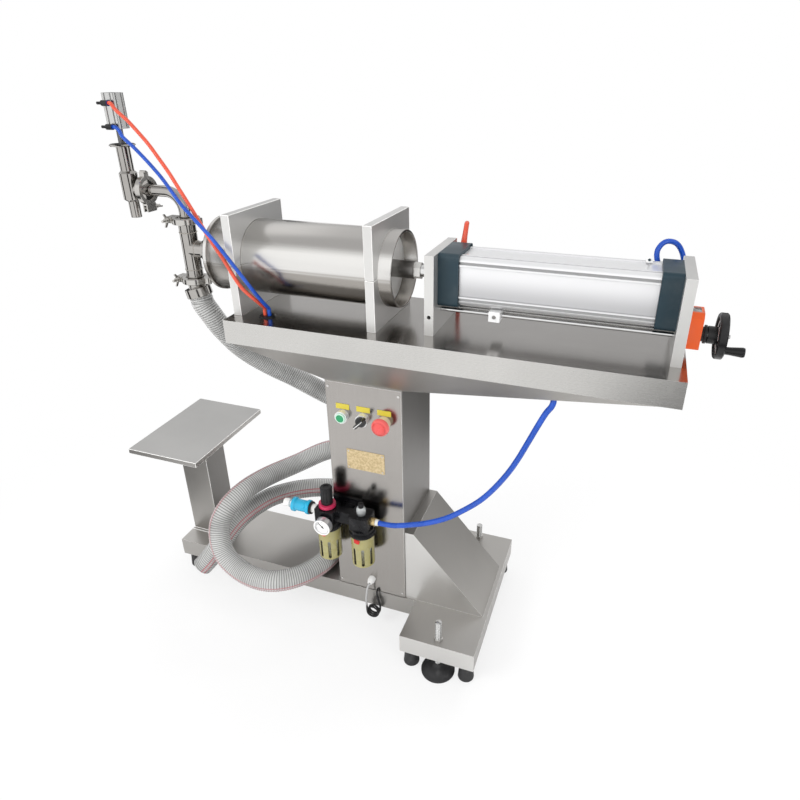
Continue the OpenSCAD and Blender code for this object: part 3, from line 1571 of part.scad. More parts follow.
// AIR TUBES
nozzle_tube_d = 8;
cyl_tube_d = 10;
supply_d = 12;
tube_sides = 8;
tube_steps = 2;
function head_port(i, l) = [nozzle_x + head_fit_l / 2 + l, head_fit_y, head_port_z[i]];
function in_grommet(s, l) = [grommet_x + s * tube_gap, grommet_y, deck_top + l];
orange_route = [
    head_port(1, tube_off), head_port(1, 3), head_port(1, 7), [-612, -28, 1204], [-597, -30, 1193],
    [-581, -32, 1182], [-556, -37, 1162], [-527, -44, 1138], [-501, -51, 1112], [-475, -59, 1086],
    [-450, -67, 1057], [-413, -78, 1012], [-372, -92, 962], [-334, -107, 926], [-297, -114, 876],
    [-277, -107, 851], [-266, -92, 830], in_grommet(-1, 19), in_grommet(-1, 11), in_grommet(-1, -7)
];
blue_route = [
    head_port(0, tube_off), head_port(0, 3), head_port(0, 7), [-613, -27, 1161], [-604, -30, 1149],
    [-576, -36, 1131], [-545, -44, 1110], [-519, -52, 1092], [-491, -62, 1072], [-463, -74, 1050],
    [-436, -85, 1028], [-402, -96, 1004], [-375, -103, 984], [-351, -109, 966], [-309, -117, 925],
    [-271, -120, 881], [-260, -109, 854], [-254, -93, 830], in_grommet(1, 19), in_grommet(1, 11),
    in_grommet(1, -7)
];
module nozzle_tube_orange() {
    color(coral) cord(way(orange_route, tube_steps), nozzle_tube_d, tube_sides);
}
module nozzle_tube_blue() {
    color(blue) cord(way(blue_route, tube_steps), nozzle_tube_d, tube_sides);
}
// A point on the arm of an elbow, at a distance from its port
function elbow_arm(i, l) = [port_x[i] - l * sin(elbow_lean[i]), elbow_y, air_port_z + l * cos(elbow_lean[i])];
function in_drop(x) = [for (l = [14, 8, -6]) [x, drop_y, deck_top + l]];
orange_loop = concat([
    elbow_arm(0, elbow_rise + tube_off), elbow_arm(0, elbow_rise + 3), elbow_arm(0, elbow_rise + 7),
    [134, 66, 966], [134, 71, 979], [133, 80, 990], [131, 90, 991], [127, 100, 982], [122, drop_y, 960],
    [117, drop_y, 930], [113, drop_y, 880], [orange_drop_x, drop_y, 845]
], in_drop(orange_drop_x));
blue_loop = concat([
    elbow_arm(1, elbow_rise + tube_off), elbow_arm(1, elbow_rise + 3), elbow_arm(1, elbow_rise + 7),
    [506, 66, 964], [507, 68, 973], [513, 74, 982], [523, 80, 986], [538, 89, 981], [550, 97, 965],
    [558, 103, 941], [562, drop_y, 900], [blue_drop_x, drop_y, 850]
], in_drop(blue_drop_x));
module cylinder_tube_orange() {
    color(coral) cord(way(orange_loop, tube_steps), cyl_tube_d, tube_sides);
}
module cylinder_tube_blue() {
    color(blue) cord(way(blue_loop, tube_steps), cyl_tube_d, tube_sides);
}
supply_route = [
    for (l = [tube_off, 3, 7, 11]) [out_x + out_l + l, frl_y, port_z], [37, -132, 352], [65, -131, 359],
    [116, -129, 377], [161, -126, 400], [201, -123, 431], [235, -120, 463], [262, -117, 498],
    [287, -115, 539], [305, -113, 576], [321, -111, 615], [337, -109, 655], [350, -106, 685],
    [supply_x - 3, supply_y - 1, 700], [supply_x, supply_y, 710], [supply_x, supply_y, 718],
    [supply_x, supply_y, 728]
];
module supply_tube() {
    color(blue) cord(way(supply_route, tube_steps), supply_d, tube_sides);
}

// MAINS LEAD
// It hangs from its gland, makes two small loops and goes back to the panel
loop_r = 14;
loop_turns = 2.5;
loop_pitch = 6.5;
loop_at = [-29, -112, 48];
loop_points = 24;
lead_sides = 6;
lead_down = [
    [gland_x, panel_y[0] - gland_l, gland_z], [gland_x, panel_y[0] - gland_l - 4, gland_z - 1],
    [-39, -120, 128], [-42, -121, 110], [-44, -121, 86], [-43.5, -120.5, 66]
];
function lead_loop() = [
    for (i = [0 : loop_turns * loop_points]) let (a = half_turn + full_turn * i / loop_points)
        loop_at + [loop_r * cos(a), loop_pitch * (i / loop_points - loop_turns / 2), loop_r * sin(a)]
];
lead_up = [
    [-15, -103.5, 62], [-19, -103, 78], [-22, -103, 92], [return_x, -101, 102],
    [return_x, panel_y[0], return_z]
];
lead_path = concat(way(lead_down, 2), lead_loop(), way(lead_up, 2));
module mains_lead() {
    color(black) cord(lead_path, lead_d, lead_sides);
}

base_frame();
rubber_feet();
leveling_foot_front();
leveling_foot_rear();
column();
front_panel();
deck();
bottle_stand();
barrel_clamps();
barrel_tube();
front_cap();
material_piston();
piston_seals();
cylinder_plates();
air_cylinder_tube();
air_cylinder_caps();
piston_rod();
rod_coupling();
indicator_housing();
handwheel();
lead_screw();
crank_grip();
guide_rod();
sensor_bracket();
valve_body();
inlet_ball();
outlet_ball();
elbow_pipe();
nozzle_body();
nozzle_cylinder();
nozzle_stem();
tri_clamps();
wing_nut_nozzle();
wing_nut_upper();
wing_nut_lower();
clamp_gaskets();
hose_adapter();
air_unit_bodies();
regulator_knob();
oil_screw();
bowl_guards();
sight_glasses();
pressure_gauge();
gauge_needle();
slide_valve();
slide_sleeve();
switch_housings();
green_button();
selector_knob();
estop_head();
label_plates();
fittings();
fasteners();
suction_hose();
nozzle_tube_orange();
nozzle_tube_blue();
supply_tube();
cylinder_tube_orange();
cylinder_tube_blue();
mains_lead();
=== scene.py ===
"""The looks of the piston filling machine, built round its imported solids."""

import json
import math

import bmesh
import bpy
import numpy as np
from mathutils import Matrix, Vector

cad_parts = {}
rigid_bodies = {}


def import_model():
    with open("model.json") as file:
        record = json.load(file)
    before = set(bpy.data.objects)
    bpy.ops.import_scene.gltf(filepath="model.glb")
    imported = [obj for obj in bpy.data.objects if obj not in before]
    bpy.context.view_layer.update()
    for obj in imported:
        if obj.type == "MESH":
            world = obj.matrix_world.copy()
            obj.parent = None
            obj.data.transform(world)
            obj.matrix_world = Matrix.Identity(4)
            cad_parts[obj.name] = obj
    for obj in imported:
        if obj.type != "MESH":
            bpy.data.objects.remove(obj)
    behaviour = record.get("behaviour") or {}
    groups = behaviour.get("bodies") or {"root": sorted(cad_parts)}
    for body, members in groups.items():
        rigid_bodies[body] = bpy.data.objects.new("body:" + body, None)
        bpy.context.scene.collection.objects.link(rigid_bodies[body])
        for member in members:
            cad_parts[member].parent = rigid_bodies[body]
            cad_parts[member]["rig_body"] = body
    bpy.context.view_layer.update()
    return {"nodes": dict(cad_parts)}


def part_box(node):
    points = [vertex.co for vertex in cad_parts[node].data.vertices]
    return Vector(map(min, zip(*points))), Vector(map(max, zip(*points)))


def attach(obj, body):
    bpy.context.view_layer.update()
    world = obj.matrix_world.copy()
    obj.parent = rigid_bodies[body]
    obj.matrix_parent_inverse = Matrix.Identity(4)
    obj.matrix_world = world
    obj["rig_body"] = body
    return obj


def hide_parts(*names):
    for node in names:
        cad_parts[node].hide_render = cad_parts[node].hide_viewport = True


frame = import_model()
nodes = frame["nodes"]
scene = bpy.context.scene
scene.view_settings.view_transform = "Standard"


# CAMERA
# The place and lens were fitted to the photograph; the principal point lies a little off the middle.
camera_data = bpy.data.cameras.new("camera")
camera = bpy.data.objects.new("camera", camera_data)
scene.collection.objects.link(camera)
scene.camera = camera
camera.location = (0.4678, -1.1569, 1.266)
camera.rotation_euler = [math.radians(a) for a in (63.9, 0.2, 19.3)]
camera_data.sensor_width = 36
camera_data.lens = 27.846
camera_data.shift_x = -0.0261
camera_data.shift_y = -0.02725
camera_data.clip_start, camera_data.clip_end = 0.02, 60


# CORDS
# The clear ribbed suction hose, the polyurethane air tubes and the rubber mains lead. The hose is crimped
# below the valve body, coils behind the machine and ends open; the air tubes push into their fittings and
# the deck's grommets.
class Flow:
    """A shader socket that takes part in sums and products; a number may come first only in a difference."""

    def __init__(self, paint, socket):
        self.paint, self.socket = paint, socket

    def calc(self, how, *others):
        return self.paint.node("ShaderNodeMath", {"operation": how}, dict(enumerate((self, *others))))

    def __add__(self, other):
        return self.calc("ADD", other)

    def __mul__(self, other):
        return self.calc("MULTIPLY", other)

    def __sub__(self, other):
        return self.calc("SUBTRACT", other)

    def __truediv__(self, other):
        return self.calc("DIVIDE", other)

    def __rsub__(self, other):
        return self.paint.node("ShaderNodeMath", {"operation": "SUBTRACT"}, {0: other, 1: self})

    def step(self, low, high, a=0.0, b=1.0):
        """Runs smoothly from a at low to b at high."""
        return self.paint.node(
            "ShaderNodeMapRange", {"interpolation_type": "SMOOTHSTEP"},
            {"Value": self, "From Min": low, "From Max": high, "To Min": a, "To Max": b})


class Paint:
    """A procedural material: a Principled surface and the nodes that drive its inputs."""

    def __init__(self, name, colour=(0.5, 0.5, 0.5), rough=0.4, metal=0.0, **fixed):
        self.material = bpy.data.materials.new(name)
        self.material.use_nodes = True
        self.tree = self.material.node_tree
        self.surface = self.tree.nodes["Principled BSDF"]
        self.set("Base Color", (*colour, 1.0))
        self.set("Roughness", rough)
        self.set("Metallic", metal)
        for key, value in fixed.items():
            self.set(key.replace("_", " "), value)

    def set(self, key, value):
        target = self.surface.inputs[key]
        if isinstance(value, Flow):
            self.tree.links.new(value.socket, target)
        else:
            target.default_value = value
        return self

    def node(self, kind, settings=None, inputs=None, out=0):
        """Any shader node: its type, its settings, and its inputs as values or as links."""
        made = self.tree.nodes.new(kind)
        for key, value in (settings or {}).items():
            setattr(made, key, value)
        for key, value in (inputs or {}).items():
            if isinstance(value, Flow):
                self.tree.links.new(value.socket, made.inputs[key])
            else:
                made.inputs[key].default_value = value
        return Flow(self, made.outputs[out])

    def place(self, scale=(1, 1, 1), kind="Object"):
        spot = self.node("ShaderNodeTexCoord", out=kind)
        return self.node("ShaderNodeMapping", {}, {"Vector": spot, "Scale": scale})

    def axis(self, which, kind="Object"):
        spot = self.node("ShaderNodeTexCoord", out=kind)
        return self.node("ShaderNodeSeparateXYZ", {}, {0: spot}, out=which)

    def noise(self, scale=(1, 1, 1), detail=3.0, rough=0.5, kind="Object"):
        """Noise from 0 to 1 whose grains are 1 / scale metres long on each axis."""
        return self.node("ShaderNodeTexNoise", {}, {
            "Vector": self.place(scale, kind), "Scale": 1.0, "Detail": detail, "Roughness": rough})

    def mix(self, factor, a, b):
        """Colour a where factor is 0 and b where it is 1."""
        a, b = [v if isinstance(v, Flow) else (*v, 1.0) for v in (a, b)]
        return self.node("ShaderNodeMix", {"data_type": "RGBA"}, {0: factor, 6: a, 7: b}, out=2)

    def bump(self, height, strength=0.3, distance=0.001):
        made = self.node("ShaderNodeBump", {},
                         {"Height": height, "Strength": strength, "Distance": distance})
        return self.set("Normal", made)


def finish_mesh(name, mesh, body, paint, smooth=True):
    """Welds doubles, turns the faces outward and lets the piece ride on its body."""
    work = bmesh.new()
    work.from_mesh(mesh)
    bmesh.ops.remove_doubles(work, verts=work.verts, dist=2e-6)
    bmesh.ops.recalc_face_normals(work, faces=work.faces)
    work.to_mesh(mesh)
    work.free()
    mesh.polygons.foreach_set("use_smooth", [smooth] * len(mesh.polygons))
    piece = bpy.data.objects.new(name, mesh)
    scene.collection.objects.link(piece)
    if paint:
        mesh.materials.append(paint.material)
    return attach(piece, body)


def skin(name, grid, body, paint, ends=True):
    """Quads between rings: grid[i, j] is point j of ring i, rings close on themselves, and the end rings get
    a lid. The uv layer holds ring number over ring count, and place round the ring."""
    rows, cols, _ = grid.shape
    index = np.arange(rows * cols).reshape(rows, cols)
    after = np.roll(index, -1, axis=1)
    faces = np.stack([index[:-1], after[:-1], after[1:], index[1:]], axis=-1).reshape(-1, 4).tolist()
    if ends:
        faces += [index[0, ::-1].tolist(), index[-1].tolist()]
    mesh = bpy.data.meshes.new(name)
    mesh.from_pydata(grid.reshape(-1, 3), [], faces)
    u, v = np.meshgrid(np.arange(rows - 1) / (rows - 1), np.arange(cols) / cols, indexing="ij")
    du, dv = 1 / (rows - 1), 1 / cols
    corners = np.stack([[u, v], [u, v + dv], [u + du, v + dv], [u + du, v]], axis=0)
    flat = corners.transpose(2, 3, 0, 1).reshape(-1, 2)
    flat = np.vstack([flat, np.zeros((len(mesh.loops) - len(flat), 2))])
    mesh.uv_layers.new(name="uv").data.foreach_set("uv", flat.ravel())
    return finish_mesh(name, mesh, body, paint)


def spline(points, step):
    """A smooth way through the points, Catmull-Rom between each two, then points step apart along its
    length."""
    p = np.array(points, float)
    q = np.vstack([p[:1], p, p[-1:]])
    t = np.linspace(0, 1, 24, endpoint=False)[:, None]
    a, b, c, d = [q[k:len(q) - 3 + k, None] for k in range(4)]
    square, cube = (2 * a - 5 * b + 4 * c - d) * t ** 2, (3 * b - a - 3 * c + d) * t ** 3
    fine = (2 * b + (c - a) * t + square + cube) / 2
    fine = np.vstack([fine.reshape(-1, 3), p[-1:]])
    far = np.concatenate([[0], np.cumsum(np.linalg.norm(np.diff(fine, axis=0), axis=1))])
    count = max(2, int(round(far[-1] / step)) + 1)
    at = np.linspace(0, far[-1], count)
    return np.stack([np.interp(at, far, fine[:, k]) for k in range(3)], axis=1), far[-1]


def sweep(path, radius, sides):
    """Rings carried along the path without twist: radius may be one number or one for each ring and side."""
    ahead = np.gradient(path, axis=0)
    ahead /= np.linalg.norm(ahead, axis=1)[:, None]
    side = np.cross(ahead[0], [0, 0, 1.0] if abs(ahead[0, 2]) < 0.9 else [0, 1.0, 0])
    sidewise = np.zeros_like(path)
    for i, way in enumerate(ahead):
        side = side - way * side.dot(way)
        side = side / np.linalg.norm(side)
        sidewise[i] = side
    other = np.cross(ahead, sidewise)
    turn = np.linspace(0, 2 * math.pi, sides, endpoint=False)
    cosine, sine = np.cos(turn)[None, :, None], np.sin(turn)[None, :, None]
    round_ring = cosine * sidewise[:, None] + sine * other[:, None]
    r = np.broadcast_to(np.asarray(radius, float).reshape(-1, 1) if np.ndim(radius) == 1 else radius,
                        (len(path), sides))
    return path[:, None] + round_ring * r[..., None]


def lay_cord(name, node, points, diameter, sides, paint, step=0.004, **facts):
    path, length = spline(points, step)
    cord = skin(name, sweep(path, diameter / 2, sides), "machine", paint)
    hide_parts(node)
    return cord


hose_paint = Paint("clear_hose", rough=0.3, IOR=1.45, Alpha=1.0, Coat_Weight=0.5, Coat_Roughness=0.12)
hose_along = hose_paint.axis(0, "UV")
hose_round = hose_paint.axis(1, "UV")
rib_pitch, rings_per_rib, rib_depth = 0.0052, 4, 0.0012
hose_radius, bore_radius, hose_sides = 0.0263, 0.0205, 28
hose_points = [
    (-0.49468, 0, 0.79615), (-0.49226, 0, 0.78645), (-0.48984, 0, 0.77675), (-0.477, 0.004, 0.752),
    (-0.465, 0.012, 0.723), (-0.453, 0.026, 0.692), (-0.438, 0.046, 0.656), (-0.414, 0.07, 0.62),
    (-0.376, 0.094, 0.585), (-0.332, 0.113, 0.556), (-0.287, 0.127, 0.527), (-0.239, 0.137, 0.502),
    (-0.175, 0.141, 0.489), (-0.122, 0.145, 0.444), (-0.121, 0.144, 0.392), (-0.175, 0.14, 0.35),
    (-0.257, 0.128, 0.334), (-0.333, 0.088, 0.3), (-0.385, 0.01, 0.294), (-0.413, -0.06, 0.288),
    (-0.431, -0.112, 0.266), (-0.437, -0.145, 0.228), (-0.418, -0.168, 0.176), (-0.375, -0.178, 0.142),
    (-0.317, -0.182, 0.128), (-0.263, -0.172, 0.127), (-0.219, -0.136, 0.126), (-0.189, -0.084, 0.126),
    (-0.175, -0.02, 0.126), (-0.169, 0.05, 0.126), (-0.155, 0.116, 0.13), (-0.115, 0.16, 0.14),
    (-0.071, 0.168, 0.158), (-0.073, 0.166, 0.188), (-0.125, 0.152, 0.2), (-0.193, 0.142, 0.204),
    (-0.255, 0.13, 0.206), (-0.311, 0.1, 0.212), (-0.359, 0.055, 0.218), (-0.395, 0, 0.22),
    (-0.434, -0.062, 0.196), (-0.461, -0.112, 0.154), (-0.487, -0.14, 0.112), (-0.508, -0.155, 0.086)]
hose_path, hose_length = spline(hose_points, rib_pitch / rings_per_rib)
rib_phase = (np.arange(len(hose_path)) / rings_per_rib)[:, None] + np.arange(hose_sides)[None] / hose_sides
dip = (0.5 + 0.5 * np.cos(2 * math.pi * rib_phase)) ** 3
outer = sweep(hose_path, hose_radius - rib_depth * dip, hose_sides)
front_point = hose_points[24]
front_turn = np.argmin(np.linalg.norm(hose_path - front_point, axis=1))
line_at = np.argmax((outer[front_turn] - hose_path[front_turn]) @ (0.0, -0.99, -0.14)) / hose_sides
hose = skin("suction_hose_ribs", outer, "machine", hose_paint, ends=False)
bore_paint = Paint("hose_bore", (0.6, 0.61, 0.6), 0.45)
bore_waves = 640.0
bore_paint.bump((bore_paint.axis(0, "UV") * bore_waves).calc("SINE"), 0.5, 0.002)
bore_path = hose_path[::rings_per_rib]
if (len(hose_path) - 1) % rings_per_rib:
    bore_path = np.vstack([bore_path, hose_path[-1:]])
lip_radius = hose_radius - rib_depth
first_lip, last_lip = [sweep(hose_path[pair], lip_radius, hose_sides) for pair in ([0, 1], [-2, -1])]
inner = np.concatenate([first_lip[:1], sweep(bore_path, bore_radius, hose_sides), last_lip[-1:]])
bore = skin("suction_hose_bore", inner, "machine", bore_paint, ends=False)
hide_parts("suction_hose")
phase = hose_along * ((len(hose_path) - 1) / rings_per_rib) + hose_round
hose_groove = ((phase * (2 * math.pi)).calc("COSINE") * 0.5 + 0.5).calc("POWER", 1.7)
cloud = hose_paint.noise((9, 9, 9), 2)
# The hose's wall is grey, and the grooves between its ribs are painted near black: painted shade in the
# creases. The dimmer wall comes at random from the noise.
wall = hose_paint.mix(hose_groove, (0.66, 0.66, 0.65), (0.2, 0.2, 0.195))
dim_wall = hose_paint.mix(hose_groove, (0.45, 0.45, 0.44), (0.13, 0.13, 0.13))
wall = hose_paint.mix(cloud.step(0.4, 0.7), wall, dim_wall)
off_line = ((hose_round - line_at + 0.5).calc("FRACT") - 0.5).calc("ABSOLUTE")
lines_apart = 0.03
lines = 1 - (off_line - lines_apart).calc("ABSOLUTE").step(0.006, 0.012)
wall = hose_paint.mix(off_line.step(0.034, 0.026) * 0.3, wall, (0.72, 0.5, 0.5))
hose_paint.set("Base Color", hose_paint.mix(lines * 0.8, wall, (0.5, 0.1, 0.13)))
hose_paint.set("Roughness", cloud.step(0.3, 0.7, 0.2, 0.36))
hose_paint.set("Alpha", hose_groove * 0.16 + 0.72)

tube_paints = {}
for key, colour in (("orange_tube", (0.62, 0.075, 0.035)), ("blue_tube", (0.002, 0.06, 0.4))):
    tube_paint = Paint(key, colour, 0.28, Coat_Weight=0.25, Coat_Roughness=0.08)
    drift = tube_paint.noise((22, 22, 22), 2)
    pale = tuple(min(1, 1.2 * c + 0.008) for c in colour)
    tube_paint.set("Base Color", tube_paint.mix(drift.step(0.35, 0.75), colour, pale))
    tube_paint.set("Roughness", drift.step(0.3, 0.7, 0.22, 0.36))
    tube_paints[key] = tube_paint
orange_points = [
    (-0.6297, -0.025, 1.215), (-0.627, -0.025, 1.215), (-0.623, -0.025, 1.215), (-0.612, -0.028, 1.204),
    (-0.597, -0.03, 1.193), (-0.581, -0.032, 1.182), (-0.556, -0.037, 1.162), (-0.527, -0.044, 1.138),
    (-0.501, -0.051, 1.112), (-0.475, -0.059, 1.086), (-0.45, -0.067, 1.057), (-0.413, -0.078, 1.012),
    (-0.372, -0.092, 0.962), (-0.334, -0.107, 0.926), (-0.297, -0.114, 0.876), (-0.277, -0.107, 0.851),
    (-0.266, -0.092, 0.83), (-0.2634, -0.085, 0.821), (-0.2634, -0.085, 0.813), (-0.2634, -0.085, 0.795)]
blue_points = [
    (-0.6297, -0.025, 1.168), (-0.627, -0.025, 1.168), (-0.623, -0.025, 1.168), (-0.613, -0.027, 1.161),
    (-0.604, -0.03, 1.149), (-0.576, -0.036, 1.131), (-0.545, -0.044, 1.11), (-0.519, -0.052, 1.092),
    (-0.491, -0.062, 1.072), (-0.463, -0.074, 1.05), (-0.436, -0.085, 1.028), (-0.402, -0.096, 1.004),
    (-0.375, -0.103, 0.984), (-0.351, -0.109, 0.966), (-0.309, -0.117, 0.925), (-0.271, -0.12, 0.881),
    (-0.26, -0.109, 0.854), (-0.254, -0.093, 0.83), (-0.2526, -0.085, 0.821), (-0.2526, -0.085, 0.813),
    (-0.2526, -0.085, 0.795)]
supply_points = [
    (0.0033, -0.132, 0.35), (0.006, -0.132, 0.35), (0.01, -0.132, 0.35), (0.014, -0.132, 0.35),
    (0.037, -0.132, 0.352), (0.065, -0.131, 0.359),
    (0.116, -0.129, 0.377), (0.161, -0.126, 0.4), (0.201, -0.123, 0.431), (0.235, -0.12, 0.463),
    (0.262, -0.117, 0.498), (0.287, -0.115, 0.539), (0.305, -0.113, 0.576), (0.321, -0.111, 0.615),
    (0.337, -0.109, 0.655), (0.35, -0.106, 0.685), (0.359, -0.105, 0.7), (0.362, -0.104, 0.71),
    (0.362, -0.104, 0.718), (0.362, -0.104, 0.728)]
orange_loop = [
    (0.134, 0.065, 0.9513), (0.134, 0.065, 0.954), (0.134, 0.065, 0.958), (0.134, 0.066, 0.966),
    (0.134, 0.071, 0.979), (0.133, 0.08, 0.99), (0.131, 0.09, 0.991), (0.127, 0.1, 0.982),
    (0.122, 0.106, 0.96), (0.117, 0.106, 0.93), (0.113, 0.106, 0.88), (0.111, 0.106, 0.845),
    (0.111, 0.106, 0.816), (0.111, 0.106, 0.81), (0.111, 0.106, 0.796)]
blue_loop = [
    (0.51096, 0.065, 0.94783), (0.50978, 0.065, 0.95026), (0.50803, 0.065, 0.95385), (0.506, 0.066, 0.964),
    (0.507, 0.068, 0.973), (0.513, 0.074, 0.982), (0.523, 0.08, 0.986), (0.538, 0.089, 0.981),
    (0.55, 0.097, 0.965), (0.558, 0.103, 0.941), (0.562, 0.106, 0.9), (0.563, 0.106, 0.85),
    (0.563, 0.106, 0.816), (0.563, 0.106, 0.81), (0.563, 0.106, 0.796)]
for name, points, diameter, key in (
        ("nozzle_tube_orange", orange_points, 0.008, "orange_tube"),
        ("nozzle_tube_blue", blue_points, 0.008, "blue_tube"),
        ("supply_tube", supply_points, 0.012, "blue_tube"),
        ("cylinder_tube_orange", orange_loop, 0.01, "orange_tube"),
        ("cylinder_tube_blue", blue_loop, 0.01, "blue_tube")):
    tube = lay_cord(name + "_bent", name, points, diameter, 20, tube_paints[key],
                    far_end="object", stiffness="stiff", lay="hanging")

lead_paint = Paint("black_lead", (0.012, 0.012, 0.013), 0.42)
along = lead_paint.axis(0, "UV")
lead_paint.set("Base Color", lead_paint.mix(along.step(0.2, 0.17), (0.01, 0.01, 0.011), (0.42, 0.42, 0.42)))
lead_paint.set("Roughness", lead_paint.noise((300, 300, 300), 2).step(0.3, 0.7, 0.34, 0.5))
steps_per_turn, loop_turns, loop_radius, loop_pitch = 12, 2.5, 0.014, 0.0065
loop_x, loop_y, loop_z = -0.029, -0.112, 0.048
wound = np.arange(int(loop_turns * steps_per_turn) + 1) / steps_per_turn
around = np.radians(180 + 360 * wound)
loop = np.stack([loop_x + loop_radius * np.cos(around), loop_y + loop_pitch * (wound - loop_turns / 2),
                 loop_z + loop_radius * np.sin(around)], axis=1)
lead_points = [
    (-0.037, -0.112, 0.136), (-0.037, -0.116, 0.135), (-0.039, -0.12, 0.128), (-0.042, -0.121, 0.11),
    (-0.044, -0.121, 0.086), (-0.0435, -0.1205, 0.066), *map(tuple, loop.tolist()), (-0.015, -0.1035, 0.062),
    (-0.019, -0.103, 0.078), (-0.022, -0.103, 0.092), (-0.023, -0.101, 0.102), (-0.023, -0.094, 0.106)]
lead = lay_cord("mains_lead_looped", "mains_lead", lead_points, 0.005, 12, lead_paint, step=0.0015,
                far_end="object", stiffness="medium", lay="loose")


# FLOOR, LIGHT AND SURROUNDINGS
# A white studio: the camera and clear plastic see white, and the steel mirrors bright and dark screens that
# stand round the machine and above it.
stage_paint = Paint("floor", (0.86, 0.86, 0.86), 0.7)
floor_x, floor_y = stage_paint.axis(0), stage_paint.axis(1)
away = (floor_x * floor_x + floor_y * floor_y).calc("POWER", 0.5)
bright = stage_paint.node("ShaderNodeEmission", {}, {"Color": (1, 1, 1, 1), "Strength": 1.0})
seen = stage_paint.node("ShaderNodeLightPath", out="Is Camera Ray")
whiten = away.step(0.55, 1.5, 0.72, 1.0) * seen
blend = stage_paint.node("ShaderNodeMixShader", {},
                         {0: whiten, 1: Flow(stage_paint, stage_paint.surface.outputs[0]), 2: bright})


def surround(east, north):
    """Tone of what stands round the machine, by compass angle from straight ahead: bright in front, grey at
    the right end of that, and dark and bright screens by turns elsewhere."""
    angle = east.calc("ARCTAN2", north * -1)
    screens = (angle * 5 + 3.46).calc("SINE").step(0.05, 0.3, 0.03, 1.0)
    front = angle.step(-1.05, -0.98) * angle.step(0.42, 0.34)
    return screens * (1 - front) + angle.step(0.26, 0.37, 1.0, 0.3) * front


glow_far = stage_paint.node("ShaderNodeEmission", {}, {"Color": (1, 1, 1, 1), "Strength": 1.15})
dark_far = stage_paint.node("ShaderNodeEmission", {}, {"Color": (0, 0, 0, 1), "Strength": 0.0})
screen = stage_paint.node("ShaderNodeMixShader", {},
                          {0: surround(floor_x, floor_y), 1: dark_far, 2: glow_far})
mirrored = stage_paint.node("ShaderNodeLightPath", out="Is Glossy Ray")
blend = stage_paint.node("ShaderNodeMixShader", {}, {0: away.step(0.7, 1.0) * mirrored, 1: blend, 2: screen})
stage_paint.tree.links.new(blend.socket, stage_paint.tree.nodes["Material Output"].inputs["Surface"])
floor_mesh, reach = bpy.data.meshes.new("floor"), 9
floor_mesh.from_pydata([(-reach, -reach, 0), (reach, -reach, 0), (reach, reach, 0), (-reach, reach, 0)],
                       [], [(0, 1, 2, 3)])
floor_mesh.materials.append(stage_paint.material)
floor = bpy.data.objects.new("floor", floor_mesh)
scene.collection.objects.link(floor)

world = bpy.data.worlds.new("studio")
scene.world = world
world.use_nodes = True
# The sky borrows the node calls of a paint, whose own material goes.
sky = Paint("sky")
bpy.data.materials.remove(sky.material)
sky.tree = world.node_tree
to_sky = sky.node("ShaderNodeTexCoord", out="Generated")
way_x, way_y, way_z = [sky.node("ShaderNodeSeparateXYZ", {}, {0: to_sky}, out=k) for k in range(3)]
back = way_y.step(-0.1, 0.2)
behind = way_z.step(0.42, 0.6, 0.66, 0.85) + way_x.step(-0.25, -0.6) * way_z.step(0.3, 0.45) * 0.3
lift = way_z / (way_y * way_y + way_z * way_z).calc("POWER", 0.5)
ahead = lift.step(0.6, 0.88, 1.2, 0.7)
glow = back * behind + (1 - back) * ahead
level = way_z.calc("ABSOLUTE").step(0.22, 0.13)
glow = glow * (1 - level) + surround(way_x, way_y) * level * 1.15
rays = (sky.node("ShaderNodeLightPath", out="Is Camera Ray")
        + sky.node("ShaderNodeLightPath", out="Is Transmission Ray"))
shade = glow * (1 - rays) + rays
backdrop = sky.node("ShaderNodeBackground", {}, {"Color": (1, 1, 1, 1), "Strength": shade})
sky.tree.links.new(backdrop.socket, sky.tree.nodes["World Output"].inputs["Surface"])


def lamp(name, place, aim, width, depth, watts):
    """A rectangular soft light at place, turned to aim."""
    data = bpy.data.lights.new(name, "AREA")
    data.shape, data.size, data.size_y, data.energy = "RECTANGLE", width, depth, watts
    made = bpy.data.objects.new(name, data)
    scene.collection.objects.link(made)
    made.location = place
    made.rotation_euler = (aim - made.location).to_track_quat("-Z", "Y").to_euler()
    made.visible_camera = made.visible_glossy = False


middle = Vector((0, 0, 0.7))
lamp("key", (-1.9, -2.4, 2.6), middle, 1.6, 1.2, 62)
lamp("fill", (2.6, -1.6, 1.4), middle, 1.2, 1.6, 26)
lamp("rim", (0.6, 2.4, 2.2), middle, 2.4, 0.9, 34)


# BASE FRAME
# Folded stainless sheet, welded: the long beam, the cross foot and the sloping brace. The welds are ground
# flat and the brush lines run along each box.
def copy_node(node, width=0.0008, angle=28, flat=0.4):
    """The CAD node's mesh as a piece of its own, its flat faces joined and its edges rounded by width."""
    mesh = nodes[node].data.copy()
    work = bmesh.new()
    work.from_mesh(mesh)
    bmesh.ops.remove_doubles(work, verts=work.verts, dist=3e-6)
    bmesh.ops.dissolve_limit(work, angle_limit=math.radians(flat), verts=work.verts, edges=work.edges)
    bmesh.ops.recalc_face_normals(work, faces=work.faces)
    work.to_mesh(mesh)
    work.free()
    if mesh.has_custom_normals:
        mesh.attributes.remove(mesh.attributes["custom_normal"])
    for name in ("sharp_edge", "sharp_face"):
        if name in mesh.attributes:
            mesh.attributes.remove(mesh.attributes[name])
    mesh.polygons.foreach_set("use_smooth", [True] * len(mesh.polygons))
    piece = bpy.data.objects.new(node + "_dressed", mesh)
    scene.collection.objects.link(piece)
    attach(piece, nodes[node]["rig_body"])
    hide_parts(node)
    if width:
        soften(piece, width, angle)
    return piece


def soften(piece, width, angle=28, steps=2):
    """Rounds the edges that turn by more than angle."""
    edge = piece.modifiers.new("edges", "BEVEL")
    edge.width, edge.segments, edge.limit_method = width, steps, "ANGLE"
    edge.angle_limit = math.radians(angle)
    edge.harden_normals = True
    edge.use_clamp_overlap = True
    return piece


